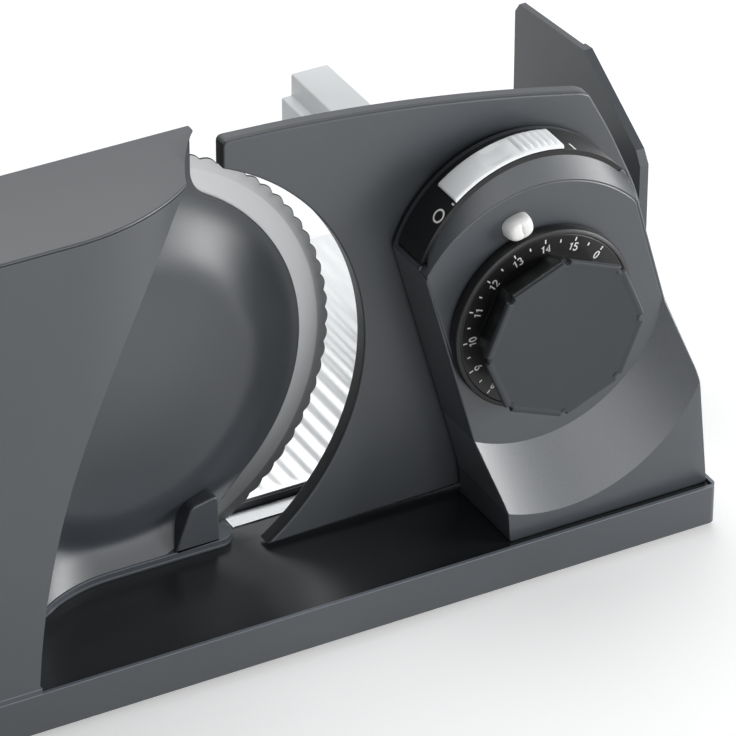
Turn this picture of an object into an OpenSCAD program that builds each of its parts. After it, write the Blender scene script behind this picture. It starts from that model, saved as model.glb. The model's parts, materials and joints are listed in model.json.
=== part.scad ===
// Electric food slicer with a slanted motor housing, a scalloped blade, a sliding stop plate,
// a thickness dial and a carriage. All lengths are in millimetres.
// The working origin is where the blade axis meets the cutting plane: X runs along the machine
// to the dial side, Y runs from the slice side to the food side, and Z runs up.
// place() then moves every piece so that the origin of the part is under its middle.

/* [Base] */
// From the blade axis to the left end of the base
base_left = 138; // [134:1:160]
// From the blade axis to the right end of the base
base_right = 207.5; // [205:0.5:230]
// From the cutting plane to the front of the base
base_front = 61.3; // [60:0.1:66]
// From the cutting plane to the rear edge of the base
base_rear = 148; // [146:1:170]
// Height of the blade axis above the deck
axis_h = 74.4; // [72:0.1:76]
// Height of the base from its lower edge to the deck
base_h = 14.3; // [13.5:0.1:18]
// Step from the deck down to the part under the carriage
rear_drop = 7; // [6.5:0.1:8]
// Wall of the base
base_wall = 2.6; // [2:0.1:3]
// Thickness of the deck
deck_t = 2.4; // [2:0.1:3]
// Height of the thin rim round the deck
rim_h = 1.2; // [0.6:0.1:2]
// Width of the thin rim
rim_w = 1.4; // [1:0.1:2.5]
// Radius of the upright corners of the base
corner_r = 3; // [1:0.5:6]
// Height of the plinth that the housing stands on
plinth_h = 3.5; // [3:0.1:5]
// Ledge of the plinth in front of the housing
plinth_ledge = 0.8; // [0.4:0.1:1.2]
// Thickness of the plate that closes the base from below
floor_t = 1.6; // [1.2:0.1:2]
// Radius of a rubber foot
foot_r = 9; // [7:0.5:11]
// Height of a rubber foot under the base
foot_h = 2.3; // [2:0.1:6]

/* [Blade] */
// Radius of the blade over the tips of its scallops
blade_r = 85; // [82:0.5:86]
// Thickness of the blade
blade_t = 1.3; // [1:0.1:1.4]
// Number of scallops round the edge
scallop_count = 76; // [60:2:90]
// Depth of a scallop
scallop_d = 1; // [0.5:0.1:1.4]
// Width of the ground bevel
bevel_w = 4.5; // [3:0.5:8]
// Depth of the dish in the middle of the blade
dish_d = 1.9; // [1.5:0.1:2]
// Radius of the flat bottom of the dish
dish_r = 38; // [34:0.5:39]
// Width of the slanted side of the dish
dish_w = 8; // [6:0.5:10]

/* [Motor housing] */
// Height of the top of the housing above the blade axis
housing_top = 90; // [88:0.5:110]
// From the blade axis to the right end of the top
lip_x = 32.5; // [28:0.5:36]
// Radius of the cover in front of the blade
cover_r = 72.9; // [70:0.1:74]
// Radius of the hollow corner between the top and the cover
lip_r = 6; // [4:0.5:12]
// How far the front leans back between the plinth and the top
lean = 10; // [6:0.5:12]
// Radius of the front panel's rounding in plan
panel_r = 79.5; // [70:0.5:95]
// Middle of the circle that the front panel's right edge follows, along X
edge_cx = 223.2; // [218:0.1:228]
// Middle of that circle below the blade axis
edge_cz = 95.5; // [92:0.1:99]
// Radius of that circle
edge_r = 280.1; // [277:0.1:283]
// Radius of the scoop at its foot
scoop_foot_r = 50.1; // [48:0.1:52]
// Width of the scoop at the top
scoop_top_w = 22; // [20:0.5:26]
// How far the scoop's start moves back between foot and top
scoop_back = 21.3; // [16:0.1:24]
// How far the foot of the scoop stands before the cutting plane
foot_step = 11.2; // [10.5:0.1:12.5]
// Height over which the foot of the scoop flares out
flare_h = 20; // [14:1:24]
// Height of the dome over the cover's rim
dome_h = 10.5; // [10:0.1:12]
// Extra crown in the middle of the dome
crown_h = 2; // [0:0.1:4]
// Radius where the dome starts to roll off
roll_r = 50; // [49.5:0.5:53]
// Width of the roll-off
roll_w = 13; // [9:0.5:15]
// Thickness of the cover's rim
rim_t = 1.2; // [1:0.1:1.6]
// Wall of the housing
wall = 2.5; // [2:0.1:3]

/* [Drive] */
// Module of the teeth between blade gear and pinion
gear_m = 1.5; // [1.45:0.01:1.5]
// Teeth of the blade gear
gear_teeth = 64; // [63:1:65]
// Teeth of the pinion
pinion_teeth = 12; // [11:1:12]
// Module of the worm and its wheel
worm_m = 1.25; // [1.2:0.01:1.3]
// Teeth of the worm wheel
wheel_teeth = 24; // [23:1:24]
// Pitch radius of the worm
worm_r = 5; // [4.6:0.1:5.2]
// Width of the worm wheel
wheel_w = 6; // [4:0.5:7]
// From the cutting plane forward to the worm's axis
worm_y = 33; // [32:0.5:34]
// From the blade axis left to the motor's axis
motor_x = 76; // [75.5:0.1:76.5]
// Radius of the motor
motor_r = 20; // [17:0.5:20.5]
// Length of the motor
motor_l = 52; // [45:1:54]

/* [Stop plate] */
// Slice thickness that the plate stands at
slice = 13.5; // [12:0.5:14.5]
// Largest slice thickness
slice_max = 15; // [15:0.5:16]
// Thickness of the plate over its rim
plate_t = 6; // [5:0.1:6.4]
// Gap between the plate's arc and the blade
plate_gap = 4.2; // [3:0.1:5]
// Left end of the plate from the blade axis
plate_x0 = 36; // [34:0.5:38]
// Right lower end of the plate from the blade axis
plate_x1 = 203; // [200:0.5:204]
// Height of the plate's top at the left
plate_z1 = 93.2; // [91:0.1:110]
// Gap between the plate's lower edge and the deck
plate_lift = 1.4; // [1.2:0.1:1.8]

/* [Knob tower] */
// Dial axis from the blade axis along X
dial_x = 143; // [142:0.5:144]
// Dial axis above the blade axis
dial_z = 7.3; // [6:0.1:8]
// Centre of the switch arc above the blade axis
arc_z = 21.5; // [20.5:0.1:22]
// Radius of the switch arc
arc_r = 46.5; // [45.5:0.1:47]
// Radius of the round front face
face_r = 51.1; // [50.5:0.1:51.8]
// From the cutting plane to the front face of the tower
face_y = 43.5; // [43:0.1:44.5]
// Depth of the bevel between switch arc and front face
bevel_d = 4; // [3:0.1:5]
// From the cutting plane to the front of the tower's foot
toe_y = 56.5; // [55:0.1:58]
// Running gap between the tower and the plate at its largest setting
tower_gap = 0.6; // [0.4:0.1:1]

/* [Dial] */
// Turn of the dial for each millimetre of slice thickness, in degrees
dial_turn = 22.5; // [20:0.5:22.5]
// Radius of the dial's scale disc
dial_r = 34.7; // [33:0.1:36]
// Thickness of the scale disc
dial_t = 4.4; // [3:0.1:5]
// Radius over the corners of the grip at its front
grip_r = 30.7; // [28:0.1:32]
// Radius over the corners of the grip at its foot
grip_foot_r = 28; // [26:0.1:29]
// Height of the grip
grip_h = 14.4; // [12:0.1:18]
// Radius of the cam drum
drum_r = 8; // [7.5:0.1:8.5]

/* [Switch] */
// Angle of the slider's left end, in degrees above the X axis
slider_a1 = 130; // [126:1:132]
// Angle of the slider's right end
slider_a0 = 76; // [74:1:80]
// Turn of the slider from off to on, in degrees
switch_turn = 20; // [16:1:22]
// Width of the slider along the tower
slider_w = 12.3; // [10:0.1:12.5]

/* [Carriage] */
// Left end of the carriage from the blade axis
table_x0 = 25; // [20:1:40]
// Right end of the carriage from the blade axis
table_x1 = 216; // [215:0.5:220]
// From the cutting plane to the near edge of the carriage
table_y0 = 5.2; // [5:0.1:6]
// From the cutting plane to the far edge of the carriage
table_y1 = 150; // [148:1:160]
// Height of the table's top above the deck
table_h = 3.4; // [3.2:0.1:4]
// Pitch of the ribs on the table sheet
rib_pitch = 5.3; // [4:0.1:8]
// Travel of the carriage
carriage_travel = 200; // [160:5:200]
// Height of the guard wall's top above the blade axis
guard_z = 46; // [40:0.5:70]
// Far end of the guard wall from the cutting plane
guard_y1 = 96; // [90:1:110]
// Radius of the guide rail
rail_r = 2.5; // [2:0.1:2.6]

/* [Pusher] */
// Front of the pusher from the cutting plane
pusher_y0 = 66; // [64:0.5:75]
// Height of the pusher's top above the blade axis
pusher_z = 2; // [0:0.5:8]
// Left side of the grip from the blade axis
pusher_grip_x = 146; // [140:1:160]
// Width of the grip
pusher_grip_w = 19.5; // [16:0.5:24]

/* [Hidden] */
$fn = 96;
over = 1;
clear = 0.3;
run = 0.06;
seat = 0.02;
slip = 0.2;

// Levels and planes of the base
deck_z = -axis_h;
base_z = deck_z - base_h;
rear_z = deck_z - rear_drop;
ground_z = base_z - foot_h;
foot_z = deck_z + plinth_h;
zone_y = 4.3;
table_z = deck_z + table_h;
frame_z = deck_z - 0.4;
guard_flange_x = table_x1 + 4;
front_reach = face_y + 0.6 + dial_t + grip_h;

// Middle of the whole part in plan, under which the part's own origin lies
mid_x = (guard_flange_x - base_left) / 2;
mid_y = (table_y1 - front_reach) / 2;

// Planes round the blade, counted from the cutting edge
blade_back = 0.2;
blade_front = blade_back - blade_t;
dish_back = blade_back - dish_d;
dish_front = dish_back - blade_t;
cover_back = blade_front - clear;
cover_front = cover_back - rim_t;
dome_top = cover_front - dome_h;
gear_y0 = dome_top + wall + 0.5;
axle_r = 5;
bush_r = 7.5;
hub_r = 14;

// Drive
gear_pr = gear_m * gear_teeth / 2;
pinion_pr = gear_m * pinion_teeth / 2;
wheel_pr = worm_m * wheel_teeth / 2;
idler_x = -(motor_x - worm_r - wheel_pr);
idler_z = sqrt((gear_pr + pinion_pr) ^ 2 - idler_x ^ 2);
idler_r = 2;
worm_lead = PI * worm_m;
gear_room = gear_pr + gear_m + 1;
pinion_y0 = gear_y0 + 0.4;
pinion_y1 = cover_back - wall - 0.4;
shaft_r = 2;
motor_z0 = foot_z + clear;
motor_z1 = motor_z0 + motor_l;
bearing_z = idler_z + 15.5;
bearing_t = 5;
bearing_r = 6;

// Scoop of the housing
slot_play = 2;
// The chord of the blade at the deck and its play, rounded up to half a millimetre
slot_half = ceil(2 * (sqrt(blade_r ^ 2 - axis_h ^ 2) + slot_play)) / 2;
lean_angle = atan(lean / (housing_top - foot_z));

// Stop plate
plate_back = -slice;
plate_front = plate_back - plate_t;
plate_z0 = deck_z + plate_lift;
plate_arc_r = blade_r + plate_gap;
plate_top_r = 689.4;
tower_back_y = -(slice_max + plate_t + tower_gap);
back_t = 2.4;
pin_r = 4;
pin_low = [165, -50];
pin_high = [125, 30];
cam_pin_r = 1.5;
arm_end = 0.6;
cam_pin_y = -face_y + wall + slice_max - slice + clear + arm_end + cam_pin_r;
flange_t = 1.2;
drum_y0 = -face_y + wall + slip;
drum_y1 = tower_back_y - 0.6;
arm_w = 8;
arm_top = dial_z - drum_r - 0.7;

// Tower
band_t = 2.7;
slider_t = 1.7;
slot_w = 5.4;
stem_w = 4;
stem_a = 103;
stem_half_a = 4;

// Carriage
sheet_t = 0.8;
rib_h = 0.6;
runner_l = 20;
runner_w = 11;
rail_y = 14;
rail_z = frame_z - clear - 0.2 - rail_r;
runner_x = [72, 175];
boss_l = 6.6;
guard_t = 2.5;

// Moves a piece from the blade's origin to the part's origin
module place() {
    translate([-mid_x, -mid_y, -ground_z]) children();
}

// Box between two corners
module box(x, y, z) {
    translate([x[0], y[0], z[0]]) cube([x[1] - x[0], y[1] - y[0], z[1] - z[0]]);
}

// An outline in X and Z carried along Y between two planes
module along_y(y) {
    translate([0, y[1], 0]) rotate([90, 0, 0]) linear_extrude(y[1] - y[0]) children();
}

// Cylinder along Y at a point in X and Z
module rod_y(p, r, y) {
    translate([p[0], y[1], p[1]]) rotate([90, 0, 0]) cylinder(r = r, h = y[1] - y[0]);
}

// Cylinder along X at a point in Y and Z
module rod_x(p, r, x) {
    translate([x[0], p[0], p[1]]) rotate([0, 90, 0]) cylinder(r = r, h = x[1] - x[0]);
}

// Upright cylinder
module rod_z(p, r, z) {
    translate([p[0], p[1], z[0]]) cylinder(r = r, h = z[1] - z[0]);
}

// A profile of radius and Y, turned round an axis along Y
module turned_y(p = [0, 0]) {
    translate([p[0], 0, p[1]]) rotate([-90, 0, 0]) rotate_extrude() children();
}

// Rectangle between two corners
module plane_box(x, y) {
    translate([x[0], y[0]]) square([x[1] - x[0], y[1] - y[0]]);
}

// Rectangle with round corners, from four circles and two bars
module round_box(x, y, r) {
    for (px = [x[0] + r, x[1] - r], py = [y[0] + r, y[1] - r]) translate([px, py]) circle(r);
    plane_box([x[0] + r, x[1] - r], y);
    plane_box(x, [y[0] + r, y[1] - r]);
}

// Sector of a ring between two radii and two angles
module ring_sector(r, a) {
    reach = 2 * r[1];
    mid_a = (a[0] + a[1]) / 2;
    difference() {
        intersection() {
            circle(r[1]);
            polygon([[0, 0], reach * [cos(a[0]), sin(a[0])], reach * [cos(mid_a), sin(mid_a)],
                reach * [cos(a[1]), sin(a[1])]]);
        }
        circle(r[0]);
    }
}

// Straight-flanked tooth outline: module, teeth, shares of the module for tip and root, backlash
tip_share = 0.85;
root_share = 1.2;
backlash_share = 0.28;
flank_share = 0.3;
function tooth_points(m, n) =
    let (r = m * n / 2, half = PI * m / 4 - backlash_share * m / 2)
    let (tip = half - flank_share * tip_share * m, root = half + flank_share * root_share * m)
    let (ra = r + tip_share * m, rf = r - root_share * m)
    [for (i = [0:n - 1])
        let (a = 360 * i / n)
        for (q = [[rf, -root], [ra, -tip], [ra, tip], [rf, root]])
            let (b = a + (q[1] / q[0]) * 180 / PI) q[0] * [cos(b), sin(b)]];

// Levels from 0 to 1 with flat ends
function ease(t) = t <= 0 ? 0 : t >= 1 ? 1 : t * t * (3 - 2 * t);
function between(a, b, t) = a + (b - a) * t;
function soft_min(a, b, k) = min(a, b) - k * ln(1 + exp(-abs(a - b) / k));

// Right edge of the front panel at a height
function edge_x(z) = edge_cx - sqrt(edge_r ^ 2 - (z + edge_cz) ^ 2);
function rise(z) = (z - foot_z) / (housing_top - foot_z);
function scoop_w(z) = between(scoop_foot_r, scoop_top_w, rise(z));
function scoop_y0(z) = between(-base_front, -base_front + scoop_back, rise(z));
function flare(z) = let (t = (z - foot_z) / flare_h) t >= 1 ? 0 : 1 - sin(90 * max(t, 0));
function scoop_floor(z) = cover_front - (foot_step + cover_front) * flare(z);

// Depth of the scoop from the panel's edge to the floor: a quarter ellipse at the foot that grows
// straighter towards the top
scoop_top_power = 1.1;
function scoop_y(x, z) =
    let (u = max(0, min(1, (edge_x(z) + scoop_w(z) - x) / scoop_w(z))))
    let (power = between(2, scoop_top_power, max(0, min(1, rise(z)))))
    between(scoop_y0(z), scoop_floor(z), (1 - u ^ power) ^ (1 / power));

// Depth of the dome over the blade's middle, by distance from the blade axis
function dome_y(r) = cover_front - dome_h * (1 - ease((r - roll_r) / roll_w))
    - crown_h * (1 - ease(r / roll_r));
skin_blend = 1;
function skin_y(x, z) = soft_min(scoop_y(x, z), dome_y(norm([x, z])), skin_blend);

// Everything in front of the scoop and the dome, as one closed grid of points
arc_steps = 12;
flat_steps = 22;
skin_rows = 26;
module scoop_cutter() {
    x_end = cover_r + 2 * over;
    z_top = housing_top + over;
    z_low = foot_z - over;
    y_out = -base_front - over;
    cols = arc_steps + flat_steps + 1;
    function column_x(i, z) = i <= arc_steps
        ? edge_x(z) + scoop_w(z) * (1 - cos(90 * i / arc_steps))
        : between(edge_x(z) + scoop_w(z), x_end, (i - arc_steps) / flat_steps);
    front = [for (j = [0:skin_rows], i = [0:cols - 1])
        let (z = between(z_low, z_top, j / skin_rows)) [column_x(i, z), y_out, z]];
    skin = [for (j = [0:skin_rows], i = [0:cols - 1])
        let (z = between(z_low, z_top, j / skin_rows)) let (x = column_x(i, z)) [x, skin_y(x, z), z]];
    size = cols * (skin_rows + 1);
    function at(i, j, k) = i + cols * j + size * k;
    faces = concat(
        [for (j = [0:skin_rows - 1], i = [0:cols - 2]) each [
            [at(i, j, 1), at(i + 1, j + 1, 1), at(i + 1, j, 1)],
            [at(i, j, 1), at(i, j + 1, 1), at(i + 1, j + 1, 1)],
            [at(i, j, 0), at(i + 1, j, 0), at(i + 1, j + 1, 0)],
            [at(i, j, 0), at(i + 1, j + 1, 0), at(i, j + 1, 0)]]],
        [for (i = [0:cols - 2]) each [
            [at(i, 0, 0), at(i, 0, 1), at(i + 1, 0, 1)], [at(i, 0, 0), at(i + 1, 0, 1), at(i + 1, 0, 0)],
            [at(i, skin_rows, 0), at(i + 1, skin_rows, 1), at(i, skin_rows, 1)],
            [at(i, skin_rows, 0), at(i + 1, skin_rows, 0), at(i + 1, skin_rows, 1)]]],
        [for (j = [0:skin_rows - 1]) each [
            [at(0, j, 0), at(0, j + 1, 1), at(0, j, 1)], [at(0, j, 0), at(0, j + 1, 0), at(0, j + 1, 1)],
            [at(cols - 1, j, 0), at(cols - 1, j, 1), at(cols - 1, j + 1, 1)],
            [at(cols - 1, j, 0), at(cols - 1, j + 1, 1), at(cols - 1, j + 1, 0)]]]);
    polyhedron(concat(skin, front), faces);
}

// BASE

// Parts of the base that stand behind the blade and before it
front_y = [-base_front, zone_y];
plinth_y = [-base_front, cover_back];
plinth_x0 = -base_left + base_wall;
plinth_arc_r = scoop_foot_r - plinth_ledge;
plinth_step = foot_step + plinth_ledge;
scoop_cx = edge_x(foot_z) + scoop_foot_r;
nose_x = plate_x0 + 7;
plate_bolt_r = 1.25;
bolt_play = 0.05;
bolt_head_r = 3;
base_bolts = [[-base_left + 12, -base_front + 29], [mid_x, -base_front + 8], [base_right - 9, -8],
    [-base_left + 12, base_rear - 30], [mid_x, base_rear - 14], [base_right - 9, base_rear - 30]];
feet = [for (x = [-base_left + 16.5, base_right - 16.5], y = [-base_front + 13.3, base_rear - 14]) [x, y]];
housing_bolts = [[-motor_x - 15, -9], [-motor_x + 16, -9], [-motor_x - 15, -54], [-motor_x + 13, -54]];
plate_top_z = base_z + 0.5 + floor_t;
inlet_y = -30;
inlet_r = 4.6;

module base_outline(inset) {
    round_box([-base_left + inset, base_right - inset], [-base_front + inset, base_rear - inset], corner_r);
}

// Plan of the plinth: the housing's footprint with the scoop cut out, and a nose under the cover's foot
module plinth_plan() {
    difference() {
        plane_box([plinth_x0, nose_x - plinth_step / 2], plinth_y);
        translate([scoop_cx, -base_front]) circle(plinth_arc_r);
        plane_box([scoop_cx, nose_x + over], [-base_front - over, -plinth_step]);
    }
    nose_r = (plinth_step + cover_back) / 2;
    translate([nose_x - nose_r, cover_back - nose_r]) circle(nose_r);
}

module base_tray() {
    color("dimgray") place() difference() {
        union() {
            difference() {
                translate([0, 0, base_z]) linear_extrude(base_h + rim_h) base_outline(0);
                box([-base_left - over, base_right + over], [zone_y, base_rear + over],
                    [rear_z, deck_z + rim_h + over]);
                box([-base_left + rim_w, base_right - rim_w], [-base_front + rim_w, zone_y + over],
                    [deck_z, deck_z + rim_h + over]);
                box([-base_left + base_wall, base_right - base_wall], [-base_front + base_wall, zone_y - base_wall],
                    [base_z - over, deck_z - deck_t]);
                box([-base_left + base_wall, base_right - base_wall], [zone_y - base_wall - over, base_rear - base_wall],
                    [base_z - over, rear_z - deck_t]);
            }
            translate([0, 0, deck_z - deck_t / 2]) linear_extrude(plinth_h + deck_t / 2) plinth_plan();
            for (x = [-base_left, base_right - boss_l])
                box([x, x + boss_l], [rail_y - rail_r - base_wall, rail_y + rail_r + base_wall],
                    [rear_z - deck_t, frame_z - clear]);
            for (p = base_bolts)
                rod_z(p, 4, [plate_top_z + seat, (p[1] < 0 ? deck_z : rear_z) - deck_t / 2]);
        }
        box([-slot_half, slot_half], [cover_back, blade_back + over], [base_z, deck_z + over]);
        rod_x([rail_y, rail_z], rail_r + seat, [-base_left + boss_l / 2, base_right - boss_l / 2]);
        for (p = base_bolts) rod_z(p, plate_bolt_r + bolt_play, [base_z, rear_z - deck_t / 2 - over]);
        for (p = housing_bolts) rod_z(p, plate_bolt_r + slip, [base_z, foot_z + over]);
        rod_x([inlet_y, (deck_z - deck_t + plate_top_z) / 2], inlet_r - 1,
            [-base_left - over, -base_left + base_wall + over]);
    }
}

module bottom_plate() {
    edge = base_wall + slip;
    color("darkslategray") place() difference() {
        box([-base_left + edge, base_right - edge], [-base_front + edge, base_rear - edge],
            [plate_top_z - floor_t, plate_top_z]);
        for (p = base_bolts) rod_z(p, bolt_head_r + slip, [base_z, plate_top_z - floor_t / 2]);
        for (p = base_bolts) rod_z(p, plate_bolt_r + slip, [base_z, plate_top_z + over]);
        for (p = feet) rod_z(p, foot_r / 3 + slip, [base_z, plate_top_z + over]);
    }
}

module rubber_feet() {
    color("silver") place() for (p = feet) {
        rod_z(p, foot_r, [ground_z, plate_top_z - floor_t - seat]);
        rod_z(p, foot_r / 3, [ground_z, plate_top_z]);
    }
}

module base_screws() {
    color("gray") place() for (p = base_bolts) {
        rod_z(p, bolt_head_r, [base_z + seat, plate_top_z - floor_t / 2 - seat]);
        rod_z(p, plate_bolt_r, [base_z + seat, rear_z - deck_t]);
    }
}

module cord_inlet() {
    z = (deck_z - deck_t + plate_top_z) / 2;
    color("black") place() difference() {
        union() {
            rod_x([inlet_y, z], inlet_r - 1 - seat, [-base_left - seat, -base_left + base_wall + seat]);
            rod_x([inlet_y, z], inlet_r, [-base_left + base_wall + seat, -base_left + 3 * base_wall]);
        }
        rod_x([inlet_y, z], inlet_r - 2, [-base_left - over, -base_left + 4 * base_wall]);
    }
}

module guide_strip() {
    color("white") place()
        box([slot_half + 2.5, base_right - rim_w - slip], [-3.3, zone_y - clear], [deck_z, deck_z + 0.5]);
}

module carriage_rail() {
    color("silver") place()
        rod_x([rail_y, rail_z], rail_r, [-base_left + boss_l / 2 + seat, base_right - boss_l / 2 - seat]);
}

// MOTOR HOUSING

// Circle of the panel in plan, touching the front line of the base at the foot
panel_cx = -33.8;
housing_x0 = plinth_x0;
idler = [idler_x, idler_z];
box_x = [housing_x0 + wall, -motor_x - motor_r - wall];
back_x = [housing_x0 + 2 * wall, edge_x(0)];
back_z = [foot_z + 3 * wall, housing_top - 3 * wall];
lid_t = 2.4;
lid_bolt_l = 15;
lid_bore_l = 20;
foot_bolt_l = 10;
foot_bore_l = 12;
axle_y0 = dome_top - 1;
idler_y0 = -worm_y - wheel_w / 2 - 5;
back_bolts = [[-motor_x - 16, housing_top - 18], [edge_x(0) - 9, housing_top - 18], [-motor_x - 16, foot_z + 14],
    [edge_x(0) - 16, foot_z + 12]];
axle_gap = 0.05;
lip_sink = 0.1;
foot_shape_share = [[9, 0], [14, 15.9], [21, 20.4], [36, 18.5], [37.5, 0]];

// Front outline: the block on the left, the round cover, and the hollow corner under the lip
module housing_face() {
    plane_box([housing_x0, 0], [foot_z, housing_top]);
    plane_box([-over, lip_x], [0, housing_top]);
    fillet_x = lip_x + lip_r;
    fillet_z = sqrt((cover_r + lip_r - lip_sink) ^ 2 - fillet_x ^ 2);
    touch = cover_r / (cover_r + lip_r) * [fillet_x, fillet_z];
    difference() {
        polygon([[0, 0], [lip_x, fillet_z], touch]);
        translate([fillet_x, fillet_z]) circle(lip_r);
    }
    intersection() {
        circle(cover_r);
        plane_box([-cover_r, cover_r], [foot_z, cover_r]);
    }
}

// The leaning front: flat on the left, rounded towards the scoop
module leaning_front() {
    tall = housing_top - foot_z;
    translate([0, -base_front, foot_z]) rotate([-lean_angle, 0, 0]) {
        box([housing_x0 - over, panel_cx], [0, 2 * base_front], [-tall, 2 * tall]);
        rod_z([panel_cx, panel_r], panel_r, [-tall, 2 * tall]);
    }
    box([panel_cx, cover_r + over], [dome_top - crown_h - over, over], [foot_z - over, housing_top + over]);
}

module back_plan(grow) {
    difference() {
        plane_box([back_x[0] - grow, back_x[1] + grow], [back_z[0] - grow, back_z[1] + grow]);
        circle(gear_room + wall - grow);
    }
}

module motor_housing() {
    color("dimgray") place() difference() {
        union() {
            difference() {
                intersection() {
                    along_y([-base_front - over, cover_back]) housing_face();
                    leaning_front();
                }
                scoop_cutter();
            }
            along_y([-foot_step - 1.3, cover_back])
                polygon([for (q = foot_shape_share) [q[0] * plate_x0 / 36, foot_z + q[1] * plate_x0 / 36]]);
        }
        turned_y() polygon([[0, gear_y0 - 0.5], [gear_room, gear_y0 - 0.5], [gear_room, cover_back + over],
            [0, cover_back + over]]);
        rod_y([0, 0], axle_r + seat, [axle_y0, gear_y0]);
        box(box_x, [-base_front + lean + wall, cover_back - lid_t + over], [foot_z - over, housing_top - wall]);
        rod_z([-motor_x, -worm_y], motor_r + clear, [foot_z - over, motor_z1 + 3]);
        rod_z([-motor_x, -worm_y], motor_r - 3, [motor_z1, idler_z - wheel_pr + 3]);
        rod_z([-motor_x, -worm_y], worm_r + 3.2, [motor_z1, bearing_z]);
        rod_z([-motor_x, -worm_y], bearing_r + seat,
            [bearing_z - bearing_t / 2 - seat, bearing_z + bearing_t / 2 + seat]);
        rod_z([-motor_x, -worm_y], shaft_r + 1, [bearing_z, bearing_z + bearing_t]);
        rod_y(idler, wheel_pr + worm_m + 1, [-worm_y - wheel_w / 2 - 1, -worm_y + wheel_w / 2 + 1]);
        rod_y(idler, 6, [-worm_y, pinion_y0]);
        rod_y(idler, pinion_pr + gear_m + 0.7, [pinion_y0 - 0.4, cover_back - lid_t + over]);
        rod_y(idler, idler_r + seat, [idler_y0, 0]);
        along_y([cover_back - lid_t, cover_back + over]) back_plan(slip);
        for (p = back_bolts) rod_y(p, plate_bolt_r + bolt_play, [-lid_bore_l, cover_back]);
        for (p = housing_bolts) rod_z(p, plate_bolt_r + bolt_play, [foot_z - over, foot_z + foot_bore_l]);
    }
}

module housing_back() {
    color("slategray") place() difference() {
        along_y([cover_back - lid_t + seat, cover_back - seat]) back_plan(0);
        rod_y(idler, idler_r + seat, [-5, 0]);
        for (p = back_bolts) rod_y(p, plate_bolt_r + slip, [-lid_bore_l, 0]);
        for (p = back_bolts) rod_y(p, bolt_head_r, [cover_back - lid_t / 2, 0]);
    }
}

module housing_screws() {
    color("gray") place() {
        for (p = back_bolts) {
            rod_y(p, plate_bolt_r, [-lid_bolt_l, cover_back - lid_t / 2 + seat]);
            rod_y(p, bolt_head_r - slip, [cover_back - lid_t / 2 + seat, cover_back - seat]);
        }
        for (p = housing_bolts) {
            rod_z(p, plate_bolt_r, [deck_z - deck_t - seat, foot_z + foot_bolt_l]);
            rod_z(p, bolt_head_r, [deck_z - deck_t - 2 - seat, deck_z - deck_t - seat]);
        }
    }
}

module blade_axle() {
    color("silver") place() rod_y([0, 0], axle_r, [axle_y0 + seat, dish_back - 0.7]);
}

// BLADE

bevel_r = blade_r - bevel_w;
bush_y = [gear_y0 + 0.2, dish_front - seat];
blade_bolts = [for (a = [45:90:315]) 28 * [cos(a), sin(a)]];
scallop_r = 5;

module blade() {
    color("silver") place() difference() {
        turned_y() polygon([[axle_r + 0.5, dish_front], [dish_r, dish_front], [dish_r + dish_w, blade_front],
            [bevel_r, blade_front], [blade_r, blade_back - 0.15], [blade_r, blade_back],
            [dish_r + dish_w + 0.6, blade_back], [dish_r + 0.6, dish_back], [axle_r + 0.5, dish_back]]);
        for (i = [0:scallop_count - 1])
            rotate([0, 360 * i / scallop_count, 0])
                rod_y([blade_r - scallop_d + scallop_r, 0], scallop_r, [blade_front - over, blade_back + over]);
        for (p = blade_bolts) rod_y(p, 1.6, [dish_front - over, dish_back + over]);
    }
}

module blade_gear() {
    web_y = [-6, dish_front - seat];
    color("ivory") place() difference() {
        union() {
            along_y([gear_y0, dish_front - seat]) difference() {
                polygon(tooth_points(gear_m, gear_teeth));
                circle(gear_pr - 4 * gear_m);
            }
            rod_y([0, 0], gear_pr - 3.9 * gear_m, web_y);
            rod_y([0, 0], hub_r, [gear_y0, dish_front - seat]);
        }
        rod_y([0, 0], bush_r, [gear_y0 - over, dish_front + over]);
        for (a = [0:60:300]) rod_y(27 * [cos(a), sin(a)], 7.5, [-20, 0]);
        for (p = blade_bolts) rod_y(p, 1.25, [-20, 0]);
    }
}

module blade_bush() {
    color("peru") place() difference() {
        rod_y([0, 0], bush_r - seat, bush_y);
        rod_y([0, 0], axle_r + axle_gap, [-20, 0]);
    }
}

module blade_screws() {
    color("gray") place() for (p = blade_bolts) {
        rod_y(p, 1.2, [-6, dish_back + seat]);
        rod_y(p, 3, [dish_back + seat, dish_back + 1.1]);
    }
}

module blade_cap() {
    color("darkgray") place() difference() {
        turned_y() polygon([[0, dish_back + seat], [13, dish_back + seat], [12, dish_back + 1.3],
            [0, dish_back + 1.5]]);
        box([-9, 9], [dish_back + 0.8, dish_back + 3], [-1, 1]);
    }
}

// DRIVE

module idler_axle() {
    color("silver") place() rod_y(idler, idler_r, [idler_y0 + seat, cover_back - seat]);
}

module worm_wheel() {
    color("ivory") place() difference() {
        union() {
            translate([idler_x, 0, idler_z]) along_y([-worm_y - wheel_w / 2, -worm_y + wheel_w / 2])
                polygon(tooth_points(worm_m, wheel_teeth));
            rod_y(idler, 5, [-worm_y, pinion_y0 - seat]);
        }
        rod_y(idler, idler_r + axle_gap, [-50, 0]);
    }
}

module idler_pinion() {
    turn = 180 / pinion_teeth;
    mesh = atan2(-idler_z, -idler_x);
    phase = mesh + turn + (mesh + 180) * gear_teeth / pinion_teeth;
    color("tan") place() difference() {
        translate([idler_x, 0, idler_z]) rotate([0, -phase, 0]) along_y([pinion_y0, pinion_y1])
            polygon(tooth_points(gear_m, pinion_teeth));
        rod_y(idler, idler_r + axle_gap, [-50, 0]);
    }
}

module motor_shaft() {
    color("silver") place() rod_z([-motor_x, -worm_y], shaft_r, [motor_z0 + 1.7, bearing_z + bearing_t / 2]);
}

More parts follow.
